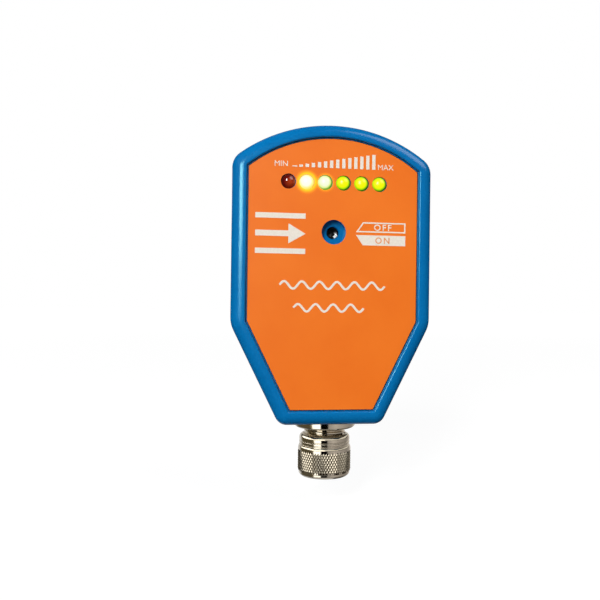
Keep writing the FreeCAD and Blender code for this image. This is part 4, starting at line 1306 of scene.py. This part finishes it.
def studio_lamps(metal, floor):
    """Soft light from the upper left, a weak fill from the right and two lights behind.

    The housing takes the key light without its mirror image, and mirrors a wide window instead.
    """
    housing = [NODES["front_housing"], NODES["rear_cover"]]
    not_metal = linked("all_but_bright_metal", metal, "EXCLUDE")
    not_floor = linked("all_but_metal_and_floor", [*metal, floor], "EXCLUDE")
    only_housing = linked("housing", housing, "INCLUDE")
    small_pieces = linked("all_but_metal_and_housing", [*metal, *housing], "EXCLUDE")
    soft_lamp("key_light", small_pieces, **KEY_LIGHT)
    soft_lamp("key_light_housing", only_housing, **KEY_LIGHT).visible_glossy = False
    window = soft_lamp("left_window", only_housing, **LEFT_WINDOW)
    window.data.color = linear("#AEFFF3")[:3]
    window.visible_diffuse = False
    soft_lamp("left_light", not_metal, **LEFT_LIGHT).visible_glossy = False
    soft_lamp("fill_light", not_metal, **FILL_LIGHT)
    for name, direction in BACK_LIGHTS.items():
        soft_lamp(name, not_floor, direction, **BACK_LIGHT).visible_glossy = False


def mirrored_cards(metal):
    """A dim room that every gloss mirrors, and the walls and softboxes that the bright metal does.

    The levels are azimuths in degrees, each with the brightness there.
    """
    only_metal = linked("bright_metal", metal, "INCLUDE")
    room = [(-180, 0.5), (-155, 0.5), (-145, 0.016), (145, 0.016), (155, 0.5), (180, 0.5)]
    behind = [(-180, 0.85), (-145, 0.75), (-130, 0.2)]
    left = [(-130, 0.2), (-120, 0.11), (-66, 0.11), (-57, 0.3)]
    front = [(-57, 0.3), (-52, 2.0), (-24, 2.2), (-22, 0.0), (5, 0.0), (8, 0.42)]
    right = [(8, 0.42), (35, 0.64), (58, 0.5), (103, 0.32), (125, 0.4), (140, 0.75), (180, 0.85)]
    low = [(-140, 0.1), (-70, 0.1), (-40, 0.15), (140, 0.22)]
    middle = [(-180, 0.8), (-165, 0.5), (-150, 0.3), (-140, 0.1), (-132, 2.6), (-84, 2.6), (-74, 2.2)]
    middle += [(-8, 2.1), (-2, 0.6), (30, 0.9), (125, 1.0), (140, 0.8), (180, 0.8)]
    upper = [(-180, 0.8), (-150, 0.8), (-140, 0.1), (-124, 0.1), (-116, 2.8), (-48, 2.8)]
    upper += [(-42, 1.2), (-14, 1.2), (-8, 0.9), (40, 0.9), (50, 0.2), (125, 0.15)]
    upper += [(140, 0.8), (180, 0.8)]
    even = [(-180, 0.6), (180, 0.6)]
    for_metal = {
        "walls_behind": (WALLS, behind, "#FFFFFF"),
        "walls_left": (WALLS, left, "#FFEDBC"),
        "walls_front": (WALLS, front, "#FFFFFA"),
        "walls_right": (WALLS, right, "#FFF7F1"),
        "walls_low": (LOW_WALLS, low, "#FFF7E4"),
        "middle_softboxes": (MIDDLE_SOFTBOXES, middle, "#FFFBF0"),
        "upper_softboxes": (UPPER_SOFTBOXES, upper, "#FFFBF0"),
        "ground": (GROUND, even, "#FFFFFF"),
        "overhead": (OVERHEAD, even, "#FFFFFF"),
    }
    reflection_card("studio_room", ROOM_DISTANCE, ROOM, room, "#FFFFFF")
    for name, (elevations, levels, colour) in for_metal.items():
        reflection_card(name, CARD_DISTANCE, elevations, levels, colour, only_metal)


def studio(metal):
    """White surroundings, soft lamps, and the cards that are mirrored."""
    white_surroundings()
    floor = pale_floor()
    studio_lamps(metal, floor)
    mirrored_cards(metal)
    bpy.context.scene.view_settings.view_transform = "Standard"


nickel = turned_metal("nickel_plated_brass_turned", "#CFC6B6", "#DDD5C6", 0.1, "Z", 0.25)
stainless = turned_metal("stainless_steel_turned", "#C2C0BB", "#D2D0CB", 0.22, "Y", 0.3)
dress_solids()
dress_lamps()
bright_metal = [knurled_cap(nickel), threaded_plug(nickel), probe_fitting(stainless)]
bright_metal.append(NODES["cover_screws"])
label_print(
    screen_print_ink("screen_print_ink_white", "#DFD7C9", "#E8E0D3"),
    screen_print_ink("screen_print_ink_orange", "#D98A52", "#E59A62"),
)
# Dark strip round the film: painted shadow of the gap between the film and its pocket
film_gap_shadow_strip(moulded_rubber("painted_shadow_film_gap", "#0A1420", "#101C2A"))
camera()
studio(bright_metal)
